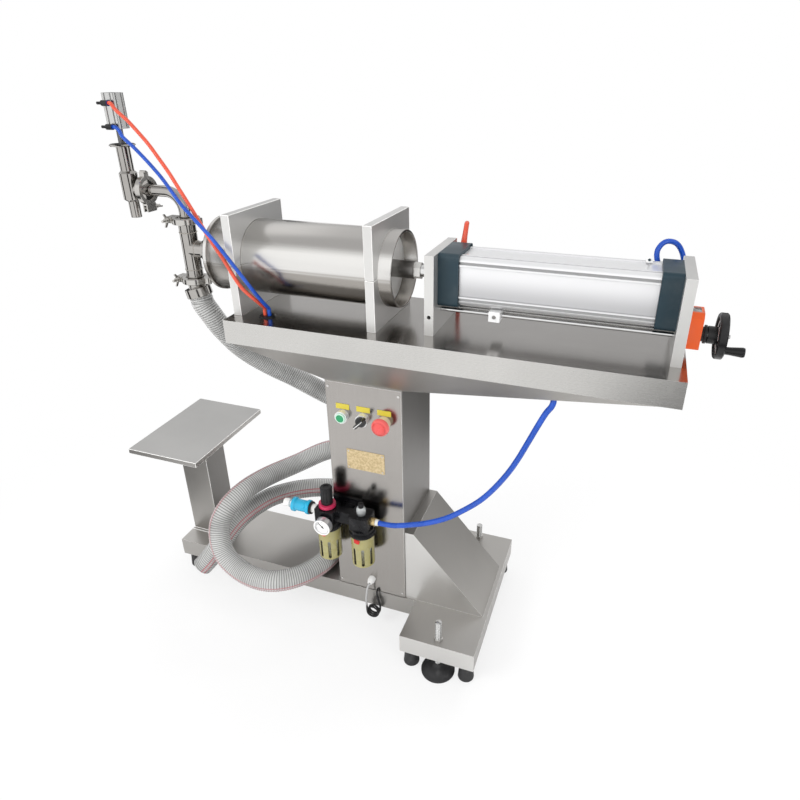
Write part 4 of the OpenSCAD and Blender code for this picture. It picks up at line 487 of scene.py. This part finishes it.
def paint_faces(piece, paint, *rules, edges=None):
    """The first material covers the piece; each rule is (material, test of the faces' centres and normals).
    The rounded edges may have a material of their own."""
    mesh = piece.data
    mesh.materials.clear()
    mesh.materials.append(paint.material)
    count = len(mesh.polygons)
    centre, normal = np.zeros(count * 3, np.float32), np.zeros(count * 3, np.float32)
    mesh.polygons.foreach_get("center", centre)
    mesh.polygons.foreach_get("normal", normal)
    centre, normal = centre.reshape(-1, 3), normal.reshape(-1, 3)
    which = np.zeros(count, np.int32)
    for number, (other, test) in enumerate(rules, 1):
        mesh.materials.append(other.material)
        which[test(centre, normal)] = number
    mesh.polygons.foreach_set("material_index", which)
    if edges:
        mesh.materials.append(edges.material)
        piece.modifiers["edges"].material = len(mesh.materials) - 1
    return piece


def steel(name, colour, rough, lines, strength=0.06, metal=1.0, smear=0.03, **fixed):
    """Stainless steel. lines gives the grains per metre on each axis: short across the brush, long along
    it."""
    paint = Paint(name, colour, rough, metal, **fixed)
    grain = paint.noise(lines, 4, 0.6)
    cloud = paint.noise((4, 4, 4), 3, 0.55)
    patch = paint.noise((38, 38, 30), 3, 0.6)
    tone = paint.mix(cloud.step(0.35, 0.65), tuple(c * 0.93 for c in colour), colour)
    tone = paint.mix(grain.step(0.3, 0.7, 0.0, 0.04), tone, (0.9, 0.89, 0.87))
    paint.set("Base Color", tone)
    fine = grain.step(0.25, 0.75, rough - 0.025, rough + 0.025)
    paint.set("Roughness", fine + patch.step(0.5, 0.8, 0.0, smear))
    paint.bump(grain, strength, 0.0001)
    return paint


sheet_x = steel("brushed_sheet_x", (0.43, 0.415, 0.395), 0.34, (10, 1400, 1400), 0.02)
sheet_y = steel("brushed_sheet_y", (0.49, 0.475, 0.455), 0.36, (1400, 10, 1400), 0.02)
sheet_z = steel("brushed_sheet_z", (0.41, 0.395, 0.375), 0.38, (1400, 1400, 9), 0.02)
sheet_painted_shade = steel("brushed_sheet_dim", (0.27, 0.26, 0.25), 0.44, (1400, 1400, 9), 0.02)
sheet_painted_light = steel("brushed_sheet_light", (0.72, 0.71, 0.69), 0.34, (1400, 1400, 9), 0.03)
# Near white and hardly metallic, for rounded edges: painted highlights.
edge_painted_highlight = steel("edge_painted_highlight", (0.97, 0.96, 0.94), 0.3, (200, 200, 200), 0.03, metal=0.2)
base = copy_node("base_frame", 0.0017)
beam_top, cross_foot_x, brace_x = 0.0985, 0.0765, 0.0505
# The front faces right of the brace take the lighter copy of the sheet, a painted light; the rounded edges
# are painted near white, painted highlights.
paint_faces(base, sheet_x, (sheet_y, lambda c, n: (c[:, 0] > cross_foot_x) & (c[:, 2] < beam_top)),
            (sheet_z, lambda c, n: (c[:, 0] > brace_x) & (c[:, 2] > beam_top)),
            (sheet_painted_light, lambda c, n: (c[:, 0] > brace_x) & (n[:, 1] < -0.9)), edges=edge_painted_highlight)


# RUBBER FEET AND LEVELLING FEET
# Six plain rubber feet, and at the ends of the cross foot two threaded studs on round rubber pads, each with
# lock nuts.
def rubber(name, colour=(0.018, 0.018, 0.019), rough=0.6, grains=700):
    paint = Paint(name, colour, rough)
    speck = paint.noise((grains,) * 3, 3, 0.7)
    dust = paint.noise((45, 45, 45), 4)
    pale = tuple(c + 0.035 for c in colour)
    paint.set("Base Color", paint.mix(dust.step(0.5, 0.8), colour, pale))
    paint.set("Roughness", dust.step(0.3, 0.7, rough - 0.08, rough + 0.1))
    paint.bump(speck, 0.15, 0.0004)
    return paint


def lathe(name, profile, origin, axis, body, paint, sides=96, width=0.0):
    """Turns a closed or axis-to-axis profile of (radius, height) points about the axis through origin."""
    p = np.array(profile, float)
    turn = np.linspace(0, 2 * math.pi, sides, endpoint=False)
    across = {"x": [1, 2, 0], "y": [2, 0, 1], "z": [0, 1, 2]}[axis]
    grid = np.zeros((len(p), sides, 3))
    grid[..., across[0]] = p[:, :1] * np.cos(turn)
    grid[..., across[1]] = p[:, :1] * np.sin(turn)
    grid[..., across[2]] = p[:, 1:]
    piece = skin(name, grid + np.array(origin), body, paint, ends=False)
    return soften(piece, width) if width else piece


def thread(name, radius, pitch, start, end, body, paint, sides=28, starts=1):
    """A rod whose radius falls and rises once in each pitch along it, starts pitches further on after a
    whole turn."""
    start, end = np.array(start, float), np.array(end, float)
    length = np.linalg.norm(end - start)
    count = max(8, int(length / pitch * 6))
    far = np.linspace(0, length, count)
    phase = (far[:, None] / pitch + starts * np.arange(sides)[None] / sides) % 1
    r = radius - 0.32 * pitch * np.abs(2 * phase - 1)
    r[0], r[-1] = radius - 0.4 * pitch, radius - 0.4 * pitch
    return skin(name, sweep(start + (end - start) * (far / length)[:, None], r, sides), body, paint)


foot_rubber = rubber("foot_rubber")
feet = copy_node("rubber_feet", 0.0012)
paint_faces(feet, foot_rubber)
stud_steel = steel("stud_steel", (0.66, 0.66, 0.65), 0.24, (240, 240, 240), 0.1)
stud_y, stud_radius, stud_pitch, pad_seat = 0.187, 0.0079, 0.002, 0.026
for which, side in (("front", -1), ("rear", 1)):
    node = "leveling_foot_" + which
    lo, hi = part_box(node)
    x, y = (lo.x + hi.x) / 2, side * stud_y
    pad = lathe(node + "_pad", [
        (0, 0), (0.0385, 0), (0.0398, 0.0012), (0.0398, 0.0042), (0.0385, 0.0054), (0.036, 0.0062),
        (0.031, 0.0115), (0.024, 0.0165), (0.017, 0.0195), (0.0115, 0.0212), (0.0109, 0.0262),
        (0.0098, 0.0269), (0, 0.0269)],
        (x, y, 0), "z", node, foot_rubber, 72)
    stud = thread(node + "_stud", stud_radius, stud_pitch, (x, y, pad_seat), (x, y, hi.z - 0.0002), node,
                  stud_steel)
    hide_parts(node)
    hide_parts(node)


# COLUMN AND FRONT PANEL
# A folded box stands on the beam; its front is a separate screwed panel that carries the switches. The box's
# right side is painted darker, a painted shade, and the panel's rims are painted near white as bright edges,
# a painted highlight.
column = copy_node("column", 0.0014)
paint_faces(column, sheet_z, (sheet_painted_shade, lambda c, n: n[:, 0] > 0.9))
panel_paint = steel("panel_sheet", (0.4, 0.38, 0.36), 0.2, (1400, 1400, 8), 0.015)
panel = copy_node("front_panel", 0.0007)
paint_faces(panel, panel_paint, (edge_painted_highlight, lambda c, n: (np.abs(n[:, 0]) > 0.9) | (np.abs(n[:, 2]) > 0.9)))


# DECK
# A long folded box with a mirror-bright top, brushed sides and a tapered neck that is welded on the column.
deck_top = steel("deck_top", (0.44, 0.425, 0.41), 0.2, (9, 900, 900), 0.02, smear=0.02)
deck_foot, skirt_foot = 0.8, 0.7495
deck = copy_node("deck", 0.0022)
skirt = steel("deck_skirt", (0.6, 0.59, 0.57), 0.27, (10, 1400, 1400), 0.02)
# The rounded edges are painted near white: painted highlights.
paint_faces(deck, skirt, (deck_top, lambda c, n: (n[:, 2] > 0.9) & (c[:, 2] > deck_foot)),
            (sheet_y, lambda c, n: np.abs(n[:, 0]) > 0.9), (sheet_x, lambda c, n: c[:, 2] < skirt_foot),
            edges=edge_painted_highlight)


# BOTTLE STAND
# A folded tray on a square post, welded to the beam's left end.
stand = copy_node("bottle_stand", 0.0013)
tray_top = steel("tray_top", (0.5, 0.495, 0.485), 0.36, (900, 16, 900), 0.05)
tray_face_z, post_top_z = 0.41, 0.4
# The post's right side below the tray is painted darker, a painted shade; the rounded edges are painted near
# white, painted highlights.
paint_faces(stand, sheet_z, (tray_top, lambda c, n: (n[:, 2] > 0.9) & (c[:, 2] > tray_face_z)),
            (sheet_y, lambda c, n: (c[:, 2] > post_top_z) & (n[:, 2] < 0.9)),
            (sheet_painted_shade, lambda c, n: (c[:, 2] < post_top_z) & (n[:, 0] > 0.9)), edges=edge_painted_highlight)


# BARREL AND ITS CLAMPS
# Two split blocks of milled aluminium hold a polished tube; its front cap is turned, with a stub for the
# valve body.
milled = steel("milled_aluminium", (0.68, 0.675, 0.665), 0.34, (900, 30, 900), 0.03, metal=0.75)
milled_front = steel("milled_front", (0.66, 0.655, 0.64), 0.34, (900, 900, 30), 0.03, metal=0.6)
clamps = copy_node("barrel_clamps", 0.001)
# The rounded edges are painted near white: painted highlights.
paint_faces(clamps, milled, (milled_front, lambda c, n: n[:, 1] < -0.9), edges=edge_painted_highlight)
barrel_steel = steel("barrel_steel", (0.66, 0.645, 0.62), 0.24, (12, 1500, 1500), 0.015, smear=0.0)
axis_z = 0.909
# Bands by height are painted on the barrel and its cap: dark over the lower half, light in a band just above
# the axis, and greyer over the top. These are painted reflections.
barrel_z, streaks = barrel_steel.axis(2), barrel_steel.noise((3, 320, 320), 3)
band = barrel_z + (streaks - 0.5) * 0.014
painted_reflection_bands = barrel_steel.mix(band.step(0.942, 0.962), (0.74, 0.73, 0.71), (0.52, 0.505, 0.485))
barrel_steel.set("Base Color", barrel_steel.mix(band.step(0.914, 0.898), painted_reflection_bands, (0.36, 0.34, 0.315)))
lo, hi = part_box("barrel_tube")
barrel = lathe("barrel_turned", [
    (0.075, lo.x), (0.0792, lo.x), (0.08, lo.x + 0.0008), (0.08, hi.x - 0.0012), (0.0794, hi.x - 0.0003),
    (0.0786, hi.x), (0.0766, hi.x), (0.0758, hi.x - 0.0004), (0.075, hi.x - 0.0016), (0.075, lo.x)],
    (0, 0, axis_z), "x", "machine", barrel_steel, 192)
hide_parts("barrel_tube")
cap = copy_node("front_cap", 0.0006)
# The cap takes the same painted reflection bands.
paint_faces(cap, barrel_steel)


# PISTON, ROD AND COUPLING
# A white plastic piston with two rubber seals on a chromed rod, joined by a turned coupling and a lock nut.
def plastic(name, colour, rough=0.35, grains=420, strength=0.08, **fixed):
    paint = Paint(name, colour, rough, **fixed)
    speck = paint.noise((grains,) * 3, 3, 0.6)
    wear = paint.noise((24, 24, 24), 4)
    paint.set("Base Color", paint.mix(wear.step(0.4, 0.8), colour, tuple(0.9 * c + 0.02 for c in colour)))
    paint.set("Roughness", wear.step(0.3, 0.7, rough - 0.05, rough + 0.08))
    paint.bump(speck, strength, 0.0003)
    return paint


white_plastic = plastic("white_plastic", (0.78, 0.78, 0.76))
piston = copy_node("material_piston", 0.0006)
paint_faces(piston, white_plastic)
seals = copy_node("piston_seals", 0)
paint_faces(seals, rubber("seal_rubber"))
rod_chrome = steel("rod_chrome", (0.72, 0.72, 0.72), 0.1, (1500, 60, 60), 0.03)
rod = copy_node("piston_rod", 0.0004)
paint_faces(rod, rod_chrome)
dark_steel = steel("dark_steel", (0.3, 0.29, 0.28), 0.3, (700, 120, 120), 0.1)
bright_nut = steel("bright_nut", (0.68, 0.67, 0.65), 0.22, (160, 160, 160), 0.08)
coupling = copy_node("rod_coupling", 0.0006)
lock_nut_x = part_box("rod_coupling")[1].x - 0.014
paint_faces(coupling, dark_steel, (bright_nut, lambda c, n: c[:, 0] > lock_nut_x))


# AIR CYLINDER BETWEEN ITS PLATES
# Anodised grooved profile, slate-blue cast caps, and two thick milled plates bolted to the deck.
plates = copy_node("cylinder_plates", 0.001)
# The rounded edges are painted near white: painted highlights.
paint_faces(plates, milled, (milled_front, lambda c, n: n[:, 1] < -0.9), edges=edge_painted_highlight)
anodised = steel("anodised_profile", (0.86, 0.865, 0.88), 0.3, (12, 1400, 1400), 0.03, metal=0.6, smear=0.0)
height, depth = anodised.axis(2), anodised.axis(1)
# The profile is painted light at the top and darker downwards, with a light strip along the bottom, and dark
# lines are painted along its grooves: painted light and painted shade.
face = anodised.mix(height.step(0.93, 0.882), (0.8, 0.8, 0.81), (0.5, 0.5, 0.51))
face = anodised.mix(height.step(0.8795, 0.878), face, (0.8, 0.8, 0.81))
groove_off = 0.036
on_top = height.step(0.954, 0.955)
off_middle = (height - axis_z).calc("ABSOLUTE") * (1 - on_top) + depth.calc("ABSOLUTE") * on_top
dark_line = (off_middle - groove_off).calc("ABSOLUTE").step(0.0027, 0.0019)
anodised.set("Base Color", anodised.mix(dark_line * 0.75, face, (0.2, 0.2, 0.2)))
tube = copy_node("air_cylinder_tube", 0.0008)
paint_faces(tube, anodised)
slate = plastic("slate_paint", (0.014, 0.034, 0.047), 0.36, 260, 0.1, Specular_IOR_Level=0.35)
caps = copy_node("air_cylinder_caps", 0.0012)
paint_faces(caps, slate)


def block(name, low, high, body, paint, width):
    """A box between two corners, its edges rounded by width."""
    mesh = bpy.data.meshes.new(name)
    places = [(x, y, z) for x in (low[0], high[0]) for y in (low[1], high[1]) for z in (low[2], high[2])]
    faces = [(0, 1, 3, 2), (4, 6, 7, 5), (0, 4, 5, 1), (2, 3, 7, 6), (0, 2, 6, 4), (1, 5, 7, 3)]
    mesh.from_pydata(places, [], faces)
    return soften(finish_mesh(name, mesh, body, paint), width)


clip_white = plastic("clip_white", (0.86, 0.86, 0.86), 0.34)
clip_low, clip_high = (0.488, 0.022, 0.9575), (0.5, 0.034, 0.9685)
clip = block("tube_clip", clip_low, clip_high, "machine", clip_white, 0.0012)
clip_screw = lathe(
    "tube_clip_screw", [(0, 0.0205), (0.0022, 0.0205), (0.0024, 0.0212), (0.0024, 0.0225), (0, 0.0225)],
    (0.494, 0, 0.9632), "y", "machine", slate, 24)


# STROKE SETTING
# An orange position indicator with a dark window, a handwheel with a crank grip on the lead screw, a guide
# rod, and the pale bracket that the screw moves along.
orange_plastic = plastic(
    "orange_plastic", (0.8, 0.1, 0.006), 0.34, 300, 0.05, Coat_Weight=0.15, Coat_Roughness=0.15)
window_dark = plastic("window_dark", (0.1, 0.06, 0.05), 0.12, 300, 0.02)
indicator = copy_node("indicator_housing", 0.0012)
window_z, collar_x, washer_x = (0.87, 0.8885), 0.5992, 0.6091
black_plastic = plastic("black_plastic", (0.007, 0.007, 0.008), 0.34, Specular_IOR_Level=0.3)
washer = steel("washer_steel", (0.75, 0.75, 0.74), 0.22, (100, 100, 100), 0.05)
paint_faces(indicator, orange_plastic,
            (window_dark, lambda c, n: (n[:, 2] > 0.97) & (c[:, 2] > window_z[0]) & (c[:, 2] < window_z[1])),
            (black_plastic, lambda c, n: c[:, 0] > collar_x), (washer, lambda c, n: c[:, 0] > washer_x))
wheel = copy_node("handwheel", 0.0007)
wheel_black = plastic("wheel_black", (0.005, 0.005, 0.006), 0.24, 200, 0.06, Specular_IOR_Level=0.35)
machined = steel("machined_face", (0.88, 0.88, 0.87), 0.3, (900, 200, 200), 0.05, metal=0.6)
screw_y, screw_z = -0.008, 0.844
hub_radius, rim_face_x, end_nut_radius, end_nut_x = 0.017, 0.636, 0.009, 0.637


def off_axis(c):
    """How far each centre lies from the lead screw's axis."""
    return np.hypot(c[:, 1] - screw_y, c[:, 2] - screw_z)


paint_faces(wheel, wheel_black,
            (machined, lambda c, n: (n[:, 0] < -0.9) & (off_axis(c) > hub_radius) & (c[:, 0] < rim_face_x)),
            (rod_chrome, lambda c, n: (off_axis(c) < end_nut_radius) & (c[:, 0] > end_nut_x)))
lo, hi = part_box("lead_screw")
screw_radius, screw_pitch = 0.00398, 0.002
screw = thread("lead_screw_thread", screw_radius, screw_pitch, (lo.x, screw_y, screw_z),
               (hi.x, screw_y, screw_z), "handwheel", stud_steel, 20, starts=5)
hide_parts("lead_screw")
guide = copy_node("guide_rod", 0.0004)
paint_faces(guide, rod_chrome)
bracket = copy_node("sensor_bracket", 0.0006)
bracket_white = plastic("bracket_white", (0.88, 0.88, 0.88), 0.34)
bracket_face_y = -0.0462
paint_faces(bracket, bracket_white, (dark_steel, lambda c, n: c[:, 1] < bracket_face_y))
grip = copy_node("crank_grip", 0.0004)
paint_faces(grip, wheel_black)


# VALVE BODY, ELBOW AND NOZZLE
# Electro-polished sanitary steel: every piece ends in a clamp ferrule. The body holds two check balls.
mirror = steel("polished_steel", (0.42, 0.405, 0.385), 0.09, (60, 60, 60), 0.02, smear=0.05)
for node in ("valve_body", "elbow_pipe", "nozzle_body"):
    piece = copy_node(node, 0.0005, 24)
    paint_faces(piece, mirror)
tee_x = -0.5


def weld(name, centre, radius, axis, paint, bead=0.0011, ripples=46):
    """A ring of weld: a thin torus whose section swells and shrinks as the bead was laid."""
    turn = np.linspace(0, 2 * math.pi, 220, endpoint=False)
    flat = np.stack([np.cos(turn) * radius, np.sin(turn) * radius, 0 * turn], axis=1)
    order = {"x": [2, 0, 1], "y": [1, 2, 0], "z": [0, 1, 2]}[axis]
    line = flat[:, order] + np.array(centre)
    line = np.vstack([line, line[:1]])
    thick = bead * (1 + 0.16 * np.sin(np.linspace(0, 2 * math.pi * ripples, len(line))))
    return skin(name, sweep(line, thick, 10), "machine", paint, ends=False)


weld_steel = steel("weld_steel", (0.55, 0.52, 0.47), 0.3, (500, 500, 500), 0.3)
for name, centre, radius, axis in (
        ("weld_branch", (-0.4793, 0, axis_z), 0.0186, "x"), ("weld_tee_top", (tee_x, 0, 0.9475), 0.0191, "z"),
        ("weld_tee_foot", (tee_x, 0, 0.862), 0.0191, "z")):
    weld(name, centre, radius, axis, weld_steel)
head_face = steel("head_face", (0.62, 0.62, 0.61), 0.2, (1400, 1400, 12), 0.02)
head_groove = steel("head_groove", (0.16, 0.16, 0.16), 0.3, (1400, 1400, 12), 0.02)
head = copy_node("nozzle_cylinder", 0.0008)
nozzle_x, groove_floor = -0.638, 0.0152


def off_nozzle(c):
    """Half the side of the square round the nozzle's axis that meets each centre."""
    return np.maximum(np.abs(c[:, 0] - nozzle_x), np.abs(c[:, 1]))


# The faces in the grooves round the nozzle's axis are painted dark: painted shade in the recess.
paint_faces(head, head_face, (head_groove, lambda c, n: off_nozzle(c) < groove_floor))
for node, paint, slot_name in (
        ("nozzle_stem", rod_chrome, "polished_steel"), ("inlet_ball", white_plastic, "white_plastic"),
        ("outlet_ball", white_plastic, "white_plastic"), ("clamp_gaskets", white_plastic, "white_plastic")):
    piece = copy_node(node, 0)
    paint_faces(piece, paint)


# CLAMPS, WING NUTS AND HOSE ADAPTER
# Cast and tumbled clamp rings, drawn tight with a swing bolt and a wing nut; the hose is crimped on its
# ferrule.
cast = steel("cast_steel", (0.56, 0.545, 0.52), 0.16, (210, 210, 210), 0.12, smear=0.1)
for node in ("tri_clamps", "wing_nut_nozzle", "wing_nut_upper", "wing_nut_lower"):
    piece = copy_node(node, 0.0008, 24)
    paint_faces(piece, cast)
adapter = copy_node("hose_adapter", 0.0007)
paint_faces(adapter, mirror)


# FILTER, REGULATOR AND LUBRICATOR
# Black die-cast bodies side by side; clear bowls in olive guards, a black knob with a magenta lock ring, and
# a sight dome with an oil screw. Red tabs release the bowls.
units = copy_node("air_unit_bodies", 0.0009)
magenta = plastic("magenta_plastic", (0.52, 0.02, 0.085), 0.32)
body_black = plastic("unit_black", (0.003, 0.003, 0.004), 0.2, 300, 0.06, Specular_IOR_Level=0.16)
# Lighter grey for the bodies' rounded edges: painted glints.
unit_glint_paint = plastic("unit_edge_painted_glint", (0.1, 0.1, 0.1), 0.2)
knob_ring_z, knob_foot_z, between_units_x = (0.3677, 0.3763), 0.3762, -0.09
paint_faces(units, body_black,
            (magenta, lambda c, n: (c[:, 2] > knob_ring_z[0]) & (c[:, 2] < knob_ring_z[1])
             & (c[:, 0] < between_units_x)), edges=unit_glint_paint)
knob = copy_node("regulator_knob", 0.0006)
paint_faces(knob, black_plastic, (magenta, lambda c, n: c[:, 2] < knob_foot_z))
oil = copy_node("oil_screw", 0.0004)
paint_faces(oil, black_plastic)
olive = plastic("olive_plastic", (0.33, 0.3, 0.12), 0.24, 260, 0.04, Coat_Weight=0.3, Coat_Roughness=0.1)
red_tab = plastic("red_tab", (0.55, 0.015, 0.012), 0.28)
slot_painted_shade = plastic("slot_painted_shade", (0.05, 0.045, 0.025), 0.5)
guards = copy_node("bowl_guards", 0.0005)
unit_axes, unit_y = (-0.125, -0.039), -0.132
slot_floor, slot_foot, guard_top = 0.0266, 0.2235, 0.3145
tab_z, tab_y, tab_reach = (0.2985, 0.3095), -0.1575, 0.0055


def unit_radius(c):
    return np.minimum(*[np.hypot(c[:, 0] - x, c[:, 1] - unit_y) for x in unit_axes])


def off_unit_x(c):
    return np.minimum(*[np.abs(c[:, 0] - x) for x in unit_axes])


# Inside the guards, from the foot of the slots to the top, the faces are painted near black: painted shade in
# the openings.
paint_faces(guards, olive, (body_black, lambda c, n: c[:, 2] > guard_top),
            (slot_painted_shade, lambda c, n: (unit_radius(c) < slot_floor) & (c[:, 2] < guard_top)
             & (c[:, 2] > slot_foot)),
            (red_tab, lambda c, n: (c[:, 1] < tab_y) & (c[:, 2] > tab_z[0]) & (c[:, 2] < tab_z[1])
             & (off_unit_x(c) < tab_reach)))
turn = np.radians(np.linspace(-104, -76, 13)) - 0.12
radii, heights = np.array([0.0262, 0.0279, 0.0279, 0.0262]), [0.297, 0.2985, 0.3115, 0.3125]
for number, x in enumerate(unit_axes):
    ring = np.stack([
        x + radii * np.cos(turn)[:, None], unit_y + radii * np.sin(turn)[:, None],
        np.broadcast_to(heights, (len(turn), len(heights)))], axis=-1)
    skin(f"lock_tab_{number}", ring, "machine", red_tab)
glass = Paint("clear_plastic", (0.8, 0.83, 0.83), 0.08, IOR=1.49, Alpha=0.45, Coat_Weight=0.6)
glass.set("Roughness", glass.noise((40, 40, 40)).step(0.3, 0.7, 0.05, 0.14))
glass.set("Base Color", glass.mix(glass.axis(2).step(0.25, 0.3), (0.42, 0.4, 0.24), (0.8, 0.83, 0.83)))
sights = copy_node("sight_glasses", 0)
paint_faces(sights, glass)
knurls, knurl_depth = 36, 0.0008
turn = np.linspace(0, 2 * math.pi, 8 * knurls, endpoint=False)
wave = 0.5 + 0.5 * np.cos(turn * knurls)
heights = np.array([0.3116, 0.3124, 0.3222, 0.3236])
radii = np.array([0.0274, 0.0306, 0.0306, 0.0286])[:, None] + 0 * wave[None]
radii[1:3] -= knurl_depth * wave[None] ** 2
for number, x in enumerate(unit_axes):
    ring = np.stack([x + radii * np.cos(turn), unit_y + radii * np.sin(turn),
                     np.repeat(heights[:, None], len(turn), axis=1)], axis=-1)
    skin(f"bowl_ring_{number}", ring, "machine", body_black)


# GAUGE
# A small round gauge with a white dial, plain scale marks and a dark pointer behind a thin rim.
gauge = copy_node("pressure_gauge", 0.0006)
gauge_x, gauge_z, rim_back_y, dial_radius = -0.119, 0.338, -0.1685, 0.0176
dial = Paint("gauge_dial", (0.85, 0.85, 0.84), 0.35, Coat_Weight=0.8, Coat_Roughness=0.04)
side, up = dial.axis(0) - gauge_x, dial.axis(2) - gauge_z
far = (side * side + up * up).calc("POWER", 0.5)
angle = side.calc("ARCTAN2", up)
marks = (angle * 20).calc("COSINE").step(0.8, 0.92) * far.step(0.0128, 0.0130) * far.step(0.0156, 0.0154)
longer = (angle * 5).calc("COSINE").step(0.96, 0.985) * far.step(0.0112, 0.0114) * far.step(0.0156, 0.0154)
arc = (far - 0.0158).calc("ABSOLUTE").step(0.00035, 0.0002)
used = angle.calc("ABSOLUTE").step(2.42, 2.38)
ink = (marks + longer + arc).calc("MINIMUM", 1.0) * used
dial.set("Base Color", dial.mix(ink, (0.86, 0.86, 0.85), (0.16, 0.16, 0.18)))
rim_silver = steel("gauge_rim", (0.8, 0.8, 0.82), 0.24, (200, 200, 200), 0.02, metal=0.7)


def off_gauge(c):
    return np.hypot(c[:, 0] - gauge_x, c[:, 2] - gauge_z)


paint_faces(gauge, rim_silver, (black_plastic, lambda c, n: c[:, 1] > rim_back_y),
            (dial, lambda c, n: (n[:, 1] < -0.9) & (off_gauge(c) < dial_radius)))
needle = copy_node("gauge_needle", 0)
paint_faces(needle, black_plastic)


# SLIDE VALVE
# A hand valve on the inlet: white nut, black ring, sliding cyan sleeve, clear stub.
valve = copy_node("slide_valve", 0.0004)
black_ring_x, blue_ring_x = (-0.1705, -0.1645), -0.2355
ring_blue = plastic("ring_blue", (0.02, 0.05, 0.3), 0.3)
paint_faces(valve, white_plastic,
            (black_plastic, lambda c, n: (c[:, 0] > black_ring_x[0]) & (c[:, 0] < black_ring_x[1])),
            (ring_blue, lambda c, n: c[:, 0] < blue_ring_x))
sleeve = copy_node("slide_sleeve", 0.0005)
paint_faces(sleeve, plastic("cyan_plastic", (0.002, 0.37, 0.6), 0.24, 300, 0.04, Coat_Weight=0.3))


# SWITCHES
# A green push button, a black selector on a bright bezel and a red emergency stop, with blank yellow legends
# above.
bezel = plastic("bezel_silver", (0.78, 0.78, 0.77), 0.26, 200, 0.02, Metallic=0.35)
cream = plastic("bezel_cream", (0.72, 0.6, 0.42), 0.34)
switch_z = 0.595
housings = copy_node("switch_housings", 0.0004)
stop_side_x, panel_face_y = -0.01, -0.0925
paint_faces(housings, bezel, (cream, lambda c, n: c[:, 0] > stop_side_x),
            (black_plastic, lambda c, n: c[:, 1] > panel_face_y))
for node, body_colour, ring_colour, ring, slot_name in (
        ("green_button", (0.006, 0.27, 0.1), (0.5, 0.72, 0.6), (0.0086, 0.0094), "green_plastic"),
        ("estop_head", (0.68, 0.075, 0.07), (0.8, 0.13, 0.12), (0.0166, 0.0176), "red_plastic"),
        ("selector_knob", (0.006, 0.006, 0.007), (0.012, 0.012, 0.013), (0.01, 0.0106), "black_plastic")):
    lo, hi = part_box(node)
    paint = plastic(node + "_gloss", body_colour, 0.24, 200, 0.02, Coat_Weight=0.3, Coat_Roughness=0.08)
    across, above = paint.axis(0) - (lo.x + hi.x) / 2, paint.axis(2) - switch_z
    off = (across * across + above * above).calc("POWER", 0.5)
    face = paint.mix(off.step(*ring), body_colour, ring_colour)
    dark_line = (off - ring[0] * 0.86).calc("ABSOLUTE").step(0.0007, 0.0003) * 0.45
    paint.set("Base Color", paint.mix(dark_line, face, tuple(c * 0.35 for c in body_colour)))
    piece = copy_node(node, 0.0006)
    paint_faces(piece, paint)
selector_at, pointer_way = np.array([-0.039, -0.1245, switch_z]), np.array([-1.0, 0.0, -1.0]) / math.sqrt(2)
pointer = np.array([selector_at + along * pointer_way for along in (-0.013, 0.0, 0.0145)])
tick = skin("selector_pointer", sweep(pointer, np.array([0.0007, 0.0009, 0.0013]), 12), "selector_knob",
            white_plastic)
yellow = plastic("legend_yellow", (0.6, 0.5, 0.05), 0.35)
brass_plate = plastic("brass_plate", (0.5, 0.39, 0.22), 0.38, 200, 0.05)
blotch = brass_plate.noise((170, 170, 170), 5, 0.7)
gold = brass_plate.mix(blotch.step(0.38, 0.62), (0.4, 0.3, 0.15), (0.58, 0.46, 0.27))
brass_plate.set("Base Color", gold)
labels = copy_node("label_plates", 0.0003)
name_plate_top = 0.56
paint_faces(labels, yellow, (brass_plate, lambda c, n: c[:, 2] < name_plate_top))


# FITTINGS AND FASTENERS
# Push-in fittings, gland, grommets and drain screws; bright screws and nuts.
fittings = copy_node("fittings", 0.0004)
brass = steel("brass", (0.66, 0.5, 0.24), 0.26, (200, 200, 200), 0.08)
gland_grey = plastic("gland_grey", (0.8, 0.8, 0.79), 0.4)
collar_blue = plastic("collar_blue", (0.01, 0.04, 0.22), 0.3)
cylinder_side_z, nozzle_side_z, tube_collar_x = 0.9, 1.1, -0.6345
outlet_z, outlet_brass_x, outlet_white_x = (0.33, 0.4), -0.0035, -0.0038
gland_top_z, gland_x, drain_top_z = 0.17, -0.06, 0.25


def at_outlet(c):
    return (c[:, 2] < outlet_z[1]) & (c[:, 2] > outlet_z[0])


paint_faces(fittings, black_plastic,
            (rod_chrome, lambda c, n: (c[:, 2] > cylinder_side_z) & (c[:, 0] > 0)),
            (collar_blue, lambda c, n: (c[:, 2] > nozzle_side_z) & (c[:, 0] > tube_collar_x)),
            (brass, lambda c, n: at_outlet(c) & (c[:, 0] < outlet_brass_x)),
            (white_plastic, lambda c, n: at_outlet(c) & (c[:, 0] > outlet_white_x)),
            (gland_grey, lambda c, n: (c[:, 2] < gland_top_z) & (c[:, 0] > gland_x)),
            (brass, lambda c, n: (c[:, 2] < drain_top_z) & (c[:, 2] > gland_top_z)))
bolts = copy_node("fasteners", 0.0003)
paint_faces(bolts, bright_nut)
